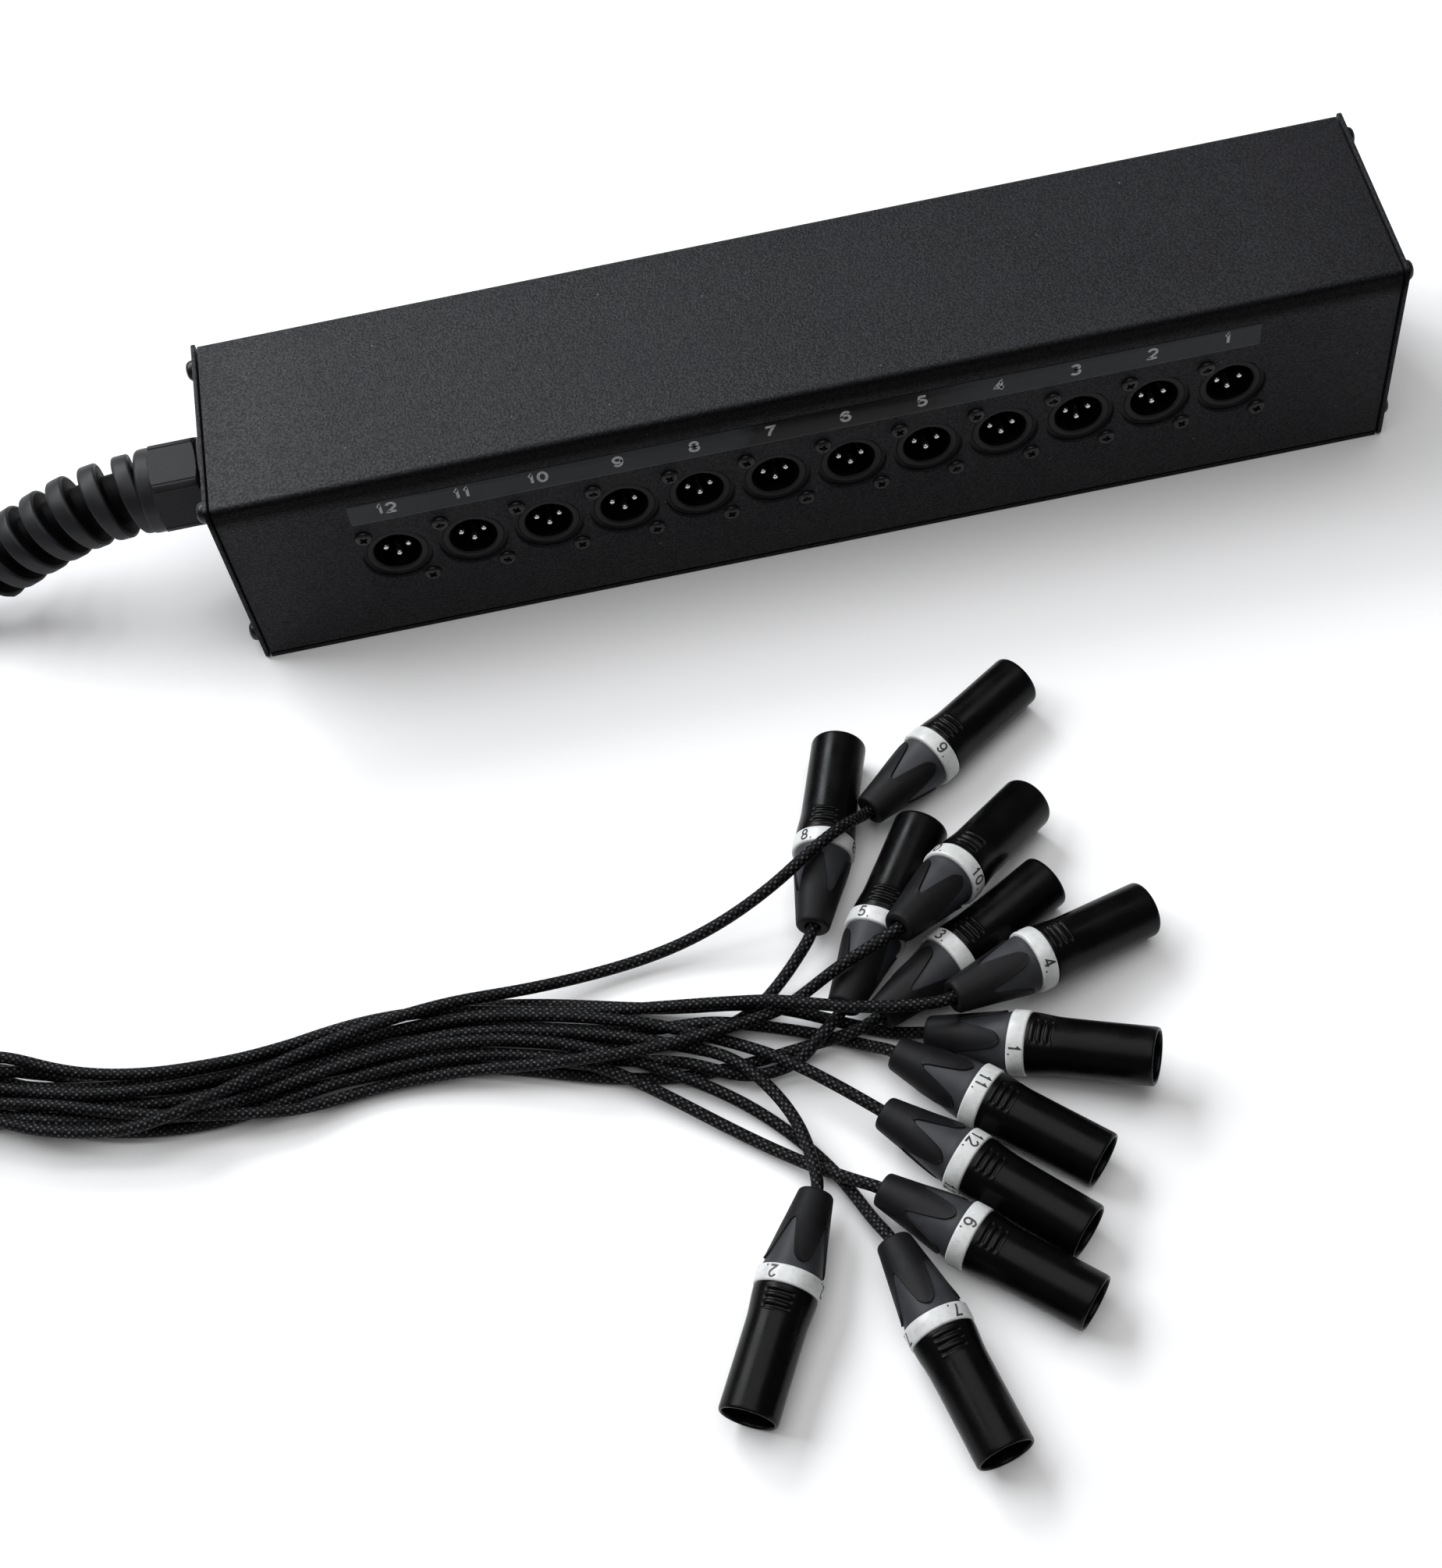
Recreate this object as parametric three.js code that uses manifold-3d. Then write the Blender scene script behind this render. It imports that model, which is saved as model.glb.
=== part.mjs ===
// Stage box snake: a sheet-metal stage box with a row of twelve male 3-pin
// panel connectors, a multicore trunk that leaves through a bend-protected
// gland, and a fan-out of twelve sleeved tails with male 3-pin plugs.
// Millimetres, +Z up. X runs along the box, the connector face looks to -Y.
// Origin: centre of the box's underside, on the surface that it rests on.
import * as THREE from 'three';
import * as BufferGeometryUtils from 'three/addons/utils/BufferGeometryUtils.js';
import Module from 'manifold-3d';

const wasm = await Module();
wasm.setup();

// ---------------------------------------------------------------- dimensions
const BOX_L = 406;            // over the end plates
const BOX_D = 79;             // end plate depth
const BOX_H = 79;             // end plate height
const SHEET = 1.5;            // sheet thickness of every case part
const SKIN_Y = 39.0;          // outer face of the folded shell, front and back
const SKIN_TOP = 78.6;        // outer face of the shell's top
const SHELL_HALF = 200.9;     // half length of the shell
const BEND_R = 2.4;           // outside bend radius of the shell
const COVER_TOP = 1.5;        // upper face of the bottom cover
const SHELL_BOTTOM = 2.2;     // lower edge of the shell, over the cover

const N_CH = 12;              // channels
const PITCH = 26.5;           // connector pitch along the front
const ROW_Z = 40;             // height of the connector row
const CUTOUT_R = 12.0;        // round cut-out for each connector
const BORE_R = 8.0;           // socket bore of a connector
const PIN_R = 1.2;            // contact pin radius
const PIN_PCR = 4.0;          // contact pin circle radius
const FIX_X = 9.5;            // fixing screw offsets from the connector centre
const FIX_Z = 12.0;

const END_SCREW_Y = 32.0;     // end plate screws
const END_SCREW_Z = [7.5, 71.0];

const GLAND_Y = 8;            // gland axis on the left end plate
const GLAND_Z = 45;
const GLAND_HOLE_R = 12.6;

const TRUNK_R = 8.0;          // 16 mm multicore
const COIL_X = -625;          // coil centre
const COIL_Y = -135;
const COIL_R0 = 87.4;         // coil inner radius
const COIL_R1 = 194.4;        // coil outer radius
const COIL_Z0 = 1.65;         // the coil lies on its straps
const COIL_TOP = 34.4;
const STRAP_W = 14;           // straps round the coil
const STRAP_T = 1.3;
const STRAP_GAP = 0.35;

const PLUG_L = 72;            // plug over its boot
const PLUG_BOOT = 27;         // boot length
const PLUG_RING = 33;         // end of the coding ring
const PLUG_R = 9.1;           // shell radius
const PLUG_BORE = 7.9;        // shell bore radius
const TAIL_R = 2.0;           // sleeved tail
const BREAK_X = -323;         // mouth of the fan-out breakout
const BREAK_Y = -192;
const BREAK_Z = 12;

// ---------------------------------------------------------------- materials
const mat = (color, roughness, metalness) =>
  new THREE.MeshStandardMaterial({ color, roughness, metalness });
const powder = mat(0x2b2c2f, 0.62, 0.25);
const powderDark = mat(0x222326, 0.6, 0.25);
const zincBlack = mat(0x1a1a1c, 0.35, 0.8);
const moulded = mat(0x161618, 0.5, 0.05);
const rubber = mat(0x141415, 0.8, 0.0);
const jacket = mat(0x19191b, 0.62, 0.0);
const sleeve = mat(0x1c1c1e, 0.85, 0.0);
const shellBlack = mat(0x101012, 0.33, 0.55);
const tape = mat(0x34363a, 0.45, 0.0);
const wireGrey = mat(0x6e7076, 0.6, 0.0);
const strap = mat(0x121213, 0.7, 0.0);

// ------------------------------------------------------------------- helpers
function clean(geometry) {
  // one indexed position-only geometry with merged corners and no slivers
  let g = geometry.index ? geometry.toNonIndexed() : geometry.clone();
  g.deleteAttribute('normal');
  g.deleteAttribute('uv');
  g = BufferGeometryUtils.mergeVertices(g, 1e-4);
  const src = g.index.array;
  const keep = [];
  for (let i = 0; i < src.length; i += 3) {
    const [a, b, c] = [src[i], src[i + 1], src[i + 2]];
    if (a !== b && b !== c && c !== a) keep.push(a, b, c);
  }
  g.setIndex(keep);
  if (volume(g) < 0) {
    for (let i = 0; i < keep.length; i += 3) {
      const t = keep[i]; keep[i] = keep[i + 1]; keep[i + 1] = t;
    }
    g.setIndex(keep);
  }
  return g;
}

function volume(g) {
  const p = g.attributes.position;
  const ix = g.index.array;
  const a = new THREE.Vector3(), b = new THREE.Vector3(), c = new THREE.Vector3();
  let v = 0;
  for (let i = 0; i < ix.length; i += 3) {
    a.fromBufferAttribute(p, ix[i]);
    b.fromBufferAttribute(p, ix[i + 1]);
    c.fromBufferAttribute(p, ix[i + 2]);
    v += a.dot(b.cross(c)) / 6;
  }
  return v;
}

function solid(geometry) {
  const g = clean(geometry);
  return new wasm.Manifold(new wasm.Mesh({
    numProp: 3,
    vertProperties: new Float32Array(g.attributes.position.array),
    triVerts: new Uint32Array(g.index.array),
  }));
}

function fromSolid(m) {
  const out = m.getMesh();
  const g = new THREE.BufferGeometry();
  g.setAttribute('position', new THREE.BufferAttribute(new Float32Array(out.vertProperties), 3));
  g.setIndex(Array.from(out.triVerts));
  return g;
}

const join = (...parts) => parts.reduce((a, b) => a.add(b));
const cut = (base, ...tools) => tools.reduce((a, b) => a.subtract(b), base);

function block(x0, x1, y0, y1, z0, z1) {
  const g = new THREE.BoxGeometry(x1 - x0, y1 - y0, z1 - z0);
  g.translate((x0 + x1) / 2, (y0 + y1) / 2, (z0 + z1) / 2);
  return g;
}

// a cylinder between two points
function rod(a, b, r, seg = 12, r2 = r) {
  const A = new THREE.Vector3(...a), B = new THREE.Vector3(...b);
  const d = B.clone().sub(A);
  const g = new THREE.CylinderGeometry(r2, r, d.length(), seg);
  g.rotateY(Math.PI / seg);
  g.applyQuaternion(new THREE.Quaternion().setFromUnitVectors(new THREE.Vector3(0, 1, 0), d.clone().normalize()));
  g.translate(...A.add(B).multiplyScalar(0.5).toArray());
  return g;
}

// a solid of revolution: [radius, distance] pairs about `axis` through `at`
function turned(profile, axis, at, seg = 16, phase = 0.5) {
  const g = new THREE.LatheGeometry(profile.map(([r, d]) => new THREE.Vector2(r, d)), seg, phase * 2 * Math.PI / seg);
  g.applyQuaternion(new THREE.Quaternion().setFromUnitVectors(new THREE.Vector3(0, 1, 0), new THREE.Vector3(...axis).normalize()));
  g.translate(...at);
  return g;
}

// an outline in the Y-Z plane, extruded along X
function extrudeX(shape, x0, x1) {
  const g = new THREE.ExtrudeGeometry(shape, { depth: x1 - x0, bevelEnabled: false, curveSegments: 4 });
  g.applyMatrix4(new THREE.Matrix4().makeBasis(
    new THREE.Vector3(0, 1, 0), new THREE.Vector3(0, 0, 1), new THREE.Vector3(1, 0, 0)));
  g.translate(x0, 0, 0);
  return g;
}

// an extrusion of a round section along a smooth curve through `points`
function tube(points, r, sides, steps) {
  const curve = new THREE.CatmullRomCurve3(points.map((p) => new THREE.Vector3(...p)), false, 'centripetal');
  const s = new THREE.Shape();
  for (let i = 0; i < sides; i++) {
    const t = (2 * Math.PI * (i + 0.5)) / sides;
    const x = r * Math.cos(t), y = r * Math.sin(t);
    if (i) s.lineTo(x, y); else s.moveTo(x, y);
  }
  s.closePath();
  return new THREE.ExtrudeGeometry(s, { steps, bevelEnabled: false, extrudePath: curve });
}

// the same with a ring at every point, for routes whose points lie closer
// together where they bend
function tubeThrough(points, r, sides) {
  const curve = new THREE.CatmullRomCurve3(points.map((p) => new THREE.Vector3(...p)), false, 'centripetal');
  curve.getUtoTmapping = (u) => u;
  const s = new THREE.Shape();
  for (let i = 0; i < sides; i++) {
    const t = (2 * Math.PI * (i + 0.5)) / sides;
    const x = r * Math.cos(t), y = r * Math.sin(t);
    if (i) s.lineTo(x, y); else s.moveTo(x, y);
  }
  s.closePath();
  return new THREE.ExtrudeGeometry(s, { steps: points.length - 1, bevelEnabled: false, extrudePath: curve });
}

const root = new THREE.Group();
function add(name, geometry, material) {
  const g = clean(geometry);
  g.computeVertexNormals();
  const m = new THREE.Mesh(g, material);
  m.name = name;
  root.add(m);
  return m;
}
const addSolid = (name, m, material) => add(name, fromSolid(m), material);

// ---------------------------------------------------------------------- case
const channelX = (n) => (6.5 - n) * PITCH;      // 12 at the left, 1 at the right

// folded shell: top, front and back from one sheet, open underneath
{
  const y = SKIN_Y, top = SKIN_TOP, r = BEND_R, t = SHEET, ri = BEND_R - SHEET, n = 3;
  const s = new THREE.Shape();
  s.moveTo(-y, SHELL_BOTTOM);
  for (let i = 0; i <= n; i++) {
    const a = Math.PI - (i / n) * Math.PI / 2;
    s.lineTo(-y + r + r * Math.cos(a), top - r + r * Math.sin(a));
  }
  for (let i = 0; i <= n; i++) {
    const a = Math.PI / 2 - (i / n) * Math.PI / 2;
    s.lineTo(y - r + r * Math.cos(a), top - r + r * Math.sin(a));
  }
  s.lineTo(y, SHELL_BOTTOM);
  s.lineTo(y - t, SHELL_BOTTOM);
  for (let i = 0; i <= 1; i++) {
    const a = (i / 1) * Math.PI / 2;
    s.lineTo(y - r + ri * Math.cos(a), top - r + ri * Math.sin(a));
  }
  for (let i = 0; i <= 1; i++) {
    const a = Math.PI / 2 + (i / 1) * Math.PI / 2;
    s.lineTo(-y + r + ri * Math.cos(a), top - r + ri * Math.sin(a));
  }
  s.lineTo(-y + t, SHELL_BOTTOM);
  s.closePath();
  let shell = solid(extrudeX(s, -SHELL_HALF, SHELL_HALF));
  // bent lugs in the upper corners take the upper end screws
  for (const sx of [-1, 1]) {
    for (const sy of [-1, 1]) {
      const x0 = Math.min(sx * SHELL_HALF, sx * (SHELL_HALF - SHEET));
      const y0 = Math.min(sy * (y - 0.5), sy * 25.5);
      const lug = solid(block(x0, x0 + SHEET, y0, y0 + y - 0.5 - 25.5, 64.5, top - 0.5));
      shell = shell.add(lug).subtract(
        solid(rod([x0 - 1, sy * END_SCREW_Y, END_SCREW_Z[1]], [x0 + 3, sy * END_SCREW_Y, END_SCREW_Z[1]], 2.4, 10)));
    }
  }
  const tools = [];
  for (let c = 1; c <= N_CH; c++) {
    const x = channelX(c);
    tools.push(solid(rod([x, -y - 2, ROW_Z], [x, -y + 4, ROW_Z], CUTOUT_R, 16)));
    for (const k of [-1, 1]) {
      tools.push(solid(rod([x + k * FIX_X, -y - 2, ROW_Z - k * FIX_Z], [x + k * FIX_X, -y + 4, ROW_Z - k * FIX_Z], 1.9, 6)));
    }
  }
  addSolid('case_shell', cut(shell, wasm.Manifold.union(tools)), powder);
}

// bottom cover: flat pan with upturned edges and four upturned screw lugs
{
  const x = SHELL_HALF;
  let pan = join(
    solid(block(-x, x, -SKIN_Y, SKIN_Y, 0, COVER_TOP)),
    solid(block(-x + 3, x - 3, -SKIN_Y + SHEET + 0.4, -SKIN_Y + 2 * SHEET + 0.4, 0.5, 11)),
    solid(block(-x + 3, x - 3, SKIN_Y - 2 * SHEET - 0.4, SKIN_Y - SHEET - 0.4, 0.5, 11)));
  for (const sx of [-1, 1]) {
    for (const sy of [-1, 1]) {
      const x0 = Math.min(sx * x, sx * (x - SHEET));
      const y0 = Math.min(sy * (SKIN_Y - SHEET - 0.4), sy * 25.5);
      const lug = solid(block(x0, x0 + SHEET, y0, y0 + SKIN_Y - SHEET - 0.4 - 25.5, 0.5, 14));
      pan = pan.add(lug).subtract(
        solid(rod([x0 - 1, sy * END_SCREW_Y, END_SCREW_Z[0]], [x0 + 3, sy * END_SCREW_Y, END_SCREW_Z[0]], 2.4, 10)));
    }
  }
  addSolid('bottom_cover', pan, powderDark);
}

// end plates, a little proud of the shell all round
function endPlate(name, sx, holes) {
  const s = new THREE.Shape();
  const y = BOX_D / 2, z = BOX_H, c = 1.2;
  s.moveTo(-y + c, 0); s.lineTo(y - c, 0); s.lineTo(y, c); s.lineTo(y, z - c);
  s.lineTo(y - c, z); s.lineTo(-y + c, z); s.lineTo(-y, z - c); s.lineTo(-y, c);
  s.closePath();
  const x0 = sx < 0 ? -BOX_L / 2 : BOX_L / 2 - SHEET;
  let plate = solid(extrudeX(s, x0, x0 + SHEET));
  for (const sy of [-1, 1]) {
    for (const zz of END_SCREW_Z) {
      plate = plate.subtract(solid(rod([x0 - 1, sy * END_SCREW_Y, zz], [x0 + 3, sy * END_SCREW_Y, zz], 2.4, 10)));
    }
  }
  for (const [hy, hz, hr, seg] of holes) {
    plate = plate.subtract(solid(rod([x0 - 1, hy, hz], [x0 + 3, hy, hz], hr, seg)));
  }
  addSolid(name, plate, powder);
}
endPlate('end_plate_left', -1, [[GLAND_Y, GLAND_Z, GLAND_HOLE_R, 24]]);
endPlate('end_plate_right', 1, []);

// pan-head end screws
for (const [side, sx] of [['left', -1], ['right', 1]]) {
  for (const [row, zz] of [['lower', END_SCREW_Z[0]], ['upper', END_SCREW_Z[1]]]) {
    for (const [pos, sy] of [['front', -1], ['rear', 1]]) {
      const f = BOX_L / 2;
      add(`end_screw_${side}_${row}_${pos}`,
        turned([[0, f - 6.5], [2.0, f - 6.5], [2.0, f + 0.3], [3.5, f + 0.3], [3.3, f + 2.1], [2.0, f + 3.0], [0, f + 3.0]],
          [sx, 0, 0], [0, sy * END_SCREW_Y, zz], 10), zincBlack);
    }
  }
}

// ---------------------------------------------------------- panel connectors
// a male 3-pin insert fixed behind the panel by two screws
function panelConnector(n) {
  const x = channelX(n), z = ROW_Z;
  const face = -SKIN_Y + SHEET + 0.3;                // front of the flange
  const back = face + 24;
  let body = join(
    solid(block(x - 13, x + 13, face, face + 2.4, z - 15.5, z + 15.5)),
    solid(rod([x, face + 1, z], [x, back, z], 11.5, 14)));
  body = body.subtract(solid(rod([x, face - 2, z], [x, face + 17, z], BORE_R, 16)));
  for (const a of [0, Math.PI, 1.5 * Math.PI]) {     // three contacts, one below
    const px = x + PIN_PCR * Math.cos(a), pz = z + PIN_PCR * Math.sin(a);
    body = body.add(solid(rod([px, face + 18, pz], [px, face + 2.5, pz], PIN_R, 6)));
    body = body.add(solid(rod([px, back - 1, pz], [px, back + 6, pz], 1.4, 5)));
  }
  for (const k of [-1, 1]) {
    const sx = x + k * FIX_X, sz = z - k * FIX_Z;
    body = body.add(join(
      solid(rod([sx, face + 1, sz], [sx, -SKIN_Y - 0.5, sz], 1.5, 6)),
      solid(rod([sx, -SKIN_Y - 0.3, sz], [sx, -SKIN_Y - 1.3, sz], 2.9, 8, 2.2))));
  }
  addSolid(`panel_connector_${String(n).padStart(2, '0')}`, body, moulded);
}
for (let n = N_CH; n >= 1; n--) panelConnector(n);

// blank writing strip with channel numbers, stuck on above the connectors
add('label_strip', block(-157.5, 154, -SKIN_Y - 0.55, -SKIN_Y - 0.3, 58.9, 68.4), tape);

// ---------------------------------------------------------------------- gland
const plateOut = -BOX_L / 2, plateIn = -BOX_L / 2 + SHEET;
const gx = (d) => plateOut - d;                      // distance out of the plate
// the gland's hexagons lie turned by 13 degrees about its line
const hexRod = (d0, d1) => {
  const g = rod([gx(d0), 0, 0], [gx(d1), 0, 0], 17.3, 6);
  g.rotateX(13 * Math.PI / 180);
  g.translate(0, GLAND_Y, GLAND_Z);
  return g;
};
// threaded body with its hexagon against the plate
{
  let g = join(
    solid(rod([-188, GLAND_Y, GLAND_Z], [gx(1), GLAND_Y, GLAND_Z], 12.1, 20)),
    solid(hexRod(0.3, 5.4)),
    solid(rod([gx(5), GLAND_Y, GLAND_Z], [gx(12.6), GLAND_Y, GLAND_Z], 12.1, 20)));
  g = g.subtract(solid(rod([-186, GLAND_Y, GLAND_Z], [gx(14), GLAND_Y, GLAND_Z], 9.3, 20)));
  g = g.subtract(solid(rod([-189, GLAND_Y, GLAND_Z], [-185, GLAND_Y, GLAND_Z], 9.3, 20)));
  addSolid('gland_body', g, moulded);
}
addSolid('gland_locknut',
  solid(rod([plateIn + 0.3, GLAND_Y, GLAND_Z], [plateIn + 5.8, GLAND_Y, GLAND_Z], 16.8, 6))
    .subtract(solid(rod([plateIn - 1, GLAND_Y, GLAND_Z], [plateIn + 7, GLAND_Y, GLAND_Z], 12.7, 20))),
  moulded);
add('gland_seal', turned([[8.9, 12.9], [11.6, 12.9], [10.6, 15.6], [8.9, 15.6], [8.9, 12.9]],
  [-1, 0, 0], [plateOut, GLAND_Y, GLAND_Z], 16), rubber);

// ------------------------------------------------------------- trunk, box end
// straight out of the gland, through the bend protector, down to the floor and
// on to the outside of the coil
const TRUNK_OUT = [
  [-187, 8, 45], [-197.5, 8, 45], [-208, 8, 45], [-218.4, 8, 45], [-228.9, 8, 45], [-239.4, 8, 44.5],
  [-249.8, 8, 43.1], [-259.8, 8, 40.1], [-269.5, 8, 36.1], [-279, 8, 31.6], [-288.3, 8, 26.9], [-297.7, 8, 22.3],
  [-307.3, 8, 18.1], [-317.2, 8.1, 14.6], [-327.3, 8.3, 11.7], [-337.6, 8.6, 9.8], [-348, 9, 8.7], [-358.4, 9.6, 8.2],
  [-368.9, 10.2, 8.1], [-379.4, 10.9, 8.1], [-389.8, 11.7, 8.1], [-400.2, 12.6, 8.1], [-410.7, 13.7, 8.1], [-421.1, 14.8, 8.1],
  [-431.5, 16.1, 8.1], [-441.9, 17.4, 8.1], [-452.3, 18.9, 8.1], [-462.6, 20.4, 8.1], [-473, 22.1, 8.1], [-483.3, 23.9, 8.1],
  [-493.6, 25.7, 8.2], [-503.9, 27.7, 8.3]];
const outCurve = new THREE.CatmullRomCurve3(TRUNK_OUT.map((p) => new THREE.Vector3(...p)), false, 'centripetal');
outCurve.arcLengthDivisions = 1200;

// moves a solid of revolution about +Y onto the trunk's curve: height is the
// distance along the curve
function bend(geometry, curve) {
  const g = geometry.clone();
  const p = g.attributes.position;
  const L = curve.getLength();
  const up = new THREE.Vector3(0, 0, 1);
  for (let i = 0; i < p.count; i++) {
    const u = Math.min(1, Math.max(0, p.getY(i) / L));
    const c = curve.getPointAt(u), t = curve.getTangentAt(u);
    const side = new THREE.Vector3().crossVectors(t, up).normalize();
    const nrm = new THREE.Vector3().crossVectors(side, t).normalize();
    c.addScaledVector(side, p.getX(i)).addScaledVector(nrm, p.getZ(i));
    p.setXYZ(i, c.x, c.y, c.z);
  }
  return g;
}

// dome nut with the ribbed bend protector moulded onto it
const NUT_S = 35.3;                                  // nut face, from the curve's start
{
  const ribs = 7, pitch = 11.2, s0 = NUT_S - 0.2, rRoot = 10.7;
  const prof = [[9.5, s0]];
  prof.push([rRoot, s0]);
  for (let i = 0; i < ribs; i++) {
    const a = s0 + 4.4 + i * pitch, rr = 14.3 - 0.12 * i;
    prof.push([rRoot, a], [rr, a + 1.3], [rr, a + 5.2], [rRoot, a + 6.5]);
  }
  const end = s0 + 4.4 + ribs * pitch - 3.4;
  prof.push([10.9, end]);
  const bore = 6;
  for (let i = 0; i <= bore; i++) prof.push([9.5, end + (s0 - end) * (i / bore)]);
  const sleeveGeo = new THREE.LatheGeometry(prof.map(([r, d]) => new THREE.Vector2(r, d)), 10);
  let nut = solid(hexRod(5.8, 22.5));
  nut = nut.add(solid(rod([gx(22), GLAND_Y, GLAND_Z], [gx(28.3), GLAND_Y, GLAND_Z], 14.75, 32)));
  nut = nut.subtract(solid(rod([gx(5), GLAND_Y, GLAND_Z], [gx(16), GLAND_Y, GLAND_Z], 12.6, 20)));
  nut = nut.subtract(solid(rod([gx(15), GLAND_Y, GLAND_Z], [gx(29.5), GLAND_Y, GLAND_Z], 9.5, 10)));
  nut = nut.add(solid(bend(sleeveGeo, outCurve)));
  addSolid('gland_nut_and_bend_protector', nut, rubber);
}
add('trunk_cable_box_end', tube(TRUNK_OUT, TRUNK_R, 10, 20), jacket);

// ----------------------------------------------------------------------- coil
add('trunk_coil', turned([[COIL_R0, COIL_Z0 + 4], [COIL_R0 + 4, COIL_Z0], [COIL_R1 - 4, COIL_Z0], [COIL_R1, COIL_Z0 + 4],
  [COIL_R1, COIL_TOP - 9], [COIL_R1 - 9, COIL_TOP], [COIL_R0 + 9, COIL_TOP], [COIL_R0, COIL_TOP - 9], [COIL_R0, COIL_Z0 + 4]],
  [0, 0, 1], [COIL_X, COIL_Y, 0], 30), jacket);

// two flat straps, each a closed band round the bundle of turns
for (const [k, deg] of [[1, 146], [2, 345]]) {
  const loop = (path, r0, r1, z0, z1, c) => {
    path.moveTo(r0, z0); path.lineTo(r1, z0); path.lineTo(r1, z1 - c); path.lineTo(r1 - c, z1);
    path.lineTo(r0 + c, z1); path.lineTo(r0, z1 - c); path.closePath();
    return path;
  };
  const inner = COIL_R0 - STRAP_GAP - 0.9;        // the inside of the coil curves away
  const outer = loop(new THREE.Shape(), inner - STRAP_T, COIL_R1 + STRAP_GAP + STRAP_T, 0,
    COIL_TOP + STRAP_GAP + STRAP_T, 9.6);
  outer.holes.push(loop(new THREE.Path(), inner, COIL_R1 + STRAP_GAP, STRAP_T,
    COIL_TOP + STRAP_GAP, 9.1));
  const band = new THREE.ExtrudeGeometry(outer, { depth: STRAP_W, bevelEnabled: false });
  band.translate(0, 0, -STRAP_W / 2);
  band.rotateX(Math.PI / 2);
  band.rotateZ(THREE.MathUtils.degToRad(deg));
  band.translate(COIL_X, COIL_Y, 0);
  add(`coil_strap_${k}`, band, strap);
}

// -------------------------------------------------------- trunk, fan-out end
// leaves the coil, curves round on the floor and enters the breakout
const TRUNK_IN = [
  [-449.5, -236.7, 9.8], [-443.9, -228.2, 9.4], [-437.4, -220.3, 8.9], [-430, -213.3, 8.6], [-421.8, -207.1, 8.4], [-413, -201.9, 8.5],
  [-403.7, -197.8, 9], [-394, -194.7, 9.8], [-384, -192.8, 10.7], [-373.8, -192, 11.5], [-363.6, -192, 11.9], [-353.4, -192, 12]];
add('trunk_cable_fan_end', tube(TRUNK_IN, TRUNK_R, 10, 12), jacket);

// breakout: a moulded sleeve that opens from the trunk to the twelve tails
addSolid('fanout_breakout', cut(
  solid(turned([[0, 0], [10.6, 0], [11.6, 1.2], [11.8, 12], [11.2, 22], [10.2, 30], [9.7, 44], [0, 44]],
    [-1, 0, 0], [BREAK_X, BREAK_Y, BREAK_Z], 18)),
  solid(rod([BREAK_X - 30, BREAK_Y, BREAK_Z], [BREAK_X - 46, BREAK_Y, BREAK_Z], 8.7, 16))), rubber);

// ------------------------------------------------------------------ wire loom
{
  let loom = solid(tube([[-186.3, 8, 45], [-181, 8, 45], [-177, 8.2, 44], [-170, 9, 40], [-163, 11, 32], [-154, 13.2, 23],
    [-142, 14, 20], [-110, 14, 20], [0, 14, 20], [148, 14, 20]], 6.4, 6, 15));
  for (let c = 1; c <= N_CH; c++) {
    const x = channelX(c);
    loom = loom.add(solid(rod([x, 13, 21], [x, 1.5, 37], 2.4, 5)))
      .add(solid(rod([x, 2.6, ROW_Z - 2], [x, -6.8, ROW_Z - 2], 2.6, 5, 4.2)));
  }
  addSolid('wire_loom', loom, wireGrey);
}

// ---------------------------------------------------------------------- plugs
// [x, y, z of the plug's middle, heading, tilt]: the axis runs from the end of
// the boot to the mouth of the shell, in radians
const PLUGS = {
  1: [27.6, -257.1, 11.39, -0.4130, 0.1412],
  2: [-65.3, -323.4, 10.36, -2.0390, -0.0324],
  3: [12.5, -217.5, 10.36, 0.5452, -0.0324],
  4: [37.4, -227.9, 14.82, 0.3455, -0.1640],
  5: [-10.1, -200.2, 10.36, 1.0170, -0.0324],
  6: [-2.8, -318.0, 10.36, -0.7298, -0.0325],
  7: [-20.6, -346.0, 10.36, -1.3135, -0.0324],
  8: [-22.3, -166.1, 10.36, 1.2650, -0.0324],
  9: [22.5, -140.3, 10.36, 0.6128, -0.0325],
  10: [18.3, -191.6, 17.40, 0.7350, -0.2408],
  11: [10.5, -274.2, 10.36, -0.7342, -0.0325],
  12: [1.7, -294.6, 10.36, -0.7779, -0.0324]};
function plug(n) {
  const [x, y, z, heading, tilt] = PLUGS[n];
  let p = solid(turned([[0, 0], [5.4, 0], [9.8, PLUG_BOOT - 0.2], [10.3, PLUG_BOOT + 0.3], [10.3, PLUG_RING - 0.3],
    [PLUG_R, PLUG_RING], [PLUG_R, PLUG_L], [PLUG_BORE, PLUG_L], [PLUG_BORE, PLUG_L - 18], [0, PLUG_L - 18]],
    [1, 0, 0], [-PLUG_L / 2, 0, 0], 12));
  for (const a of [0, Math.PI, 1.5 * Math.PI]) {
    const py = PIN_PCR * Math.cos(a), pz = PIN_PCR * Math.sin(a);
    p = p.add(solid(rod([PLUG_L / 2 - 19, py, pz], [PLUG_L / 2 - 6, py, pz], PIN_R, 6)));
  }
  const g = fromSolid(p);
  g.rotateY(-tilt);
  g.rotateZ(heading);
  g.translate(x, y, z);
  add(`plug_${String(n).padStart(2, '0')}`, g, shellBlack);
}
for (let n = 1; n <= N_CH; n++) plug(n);

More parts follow.
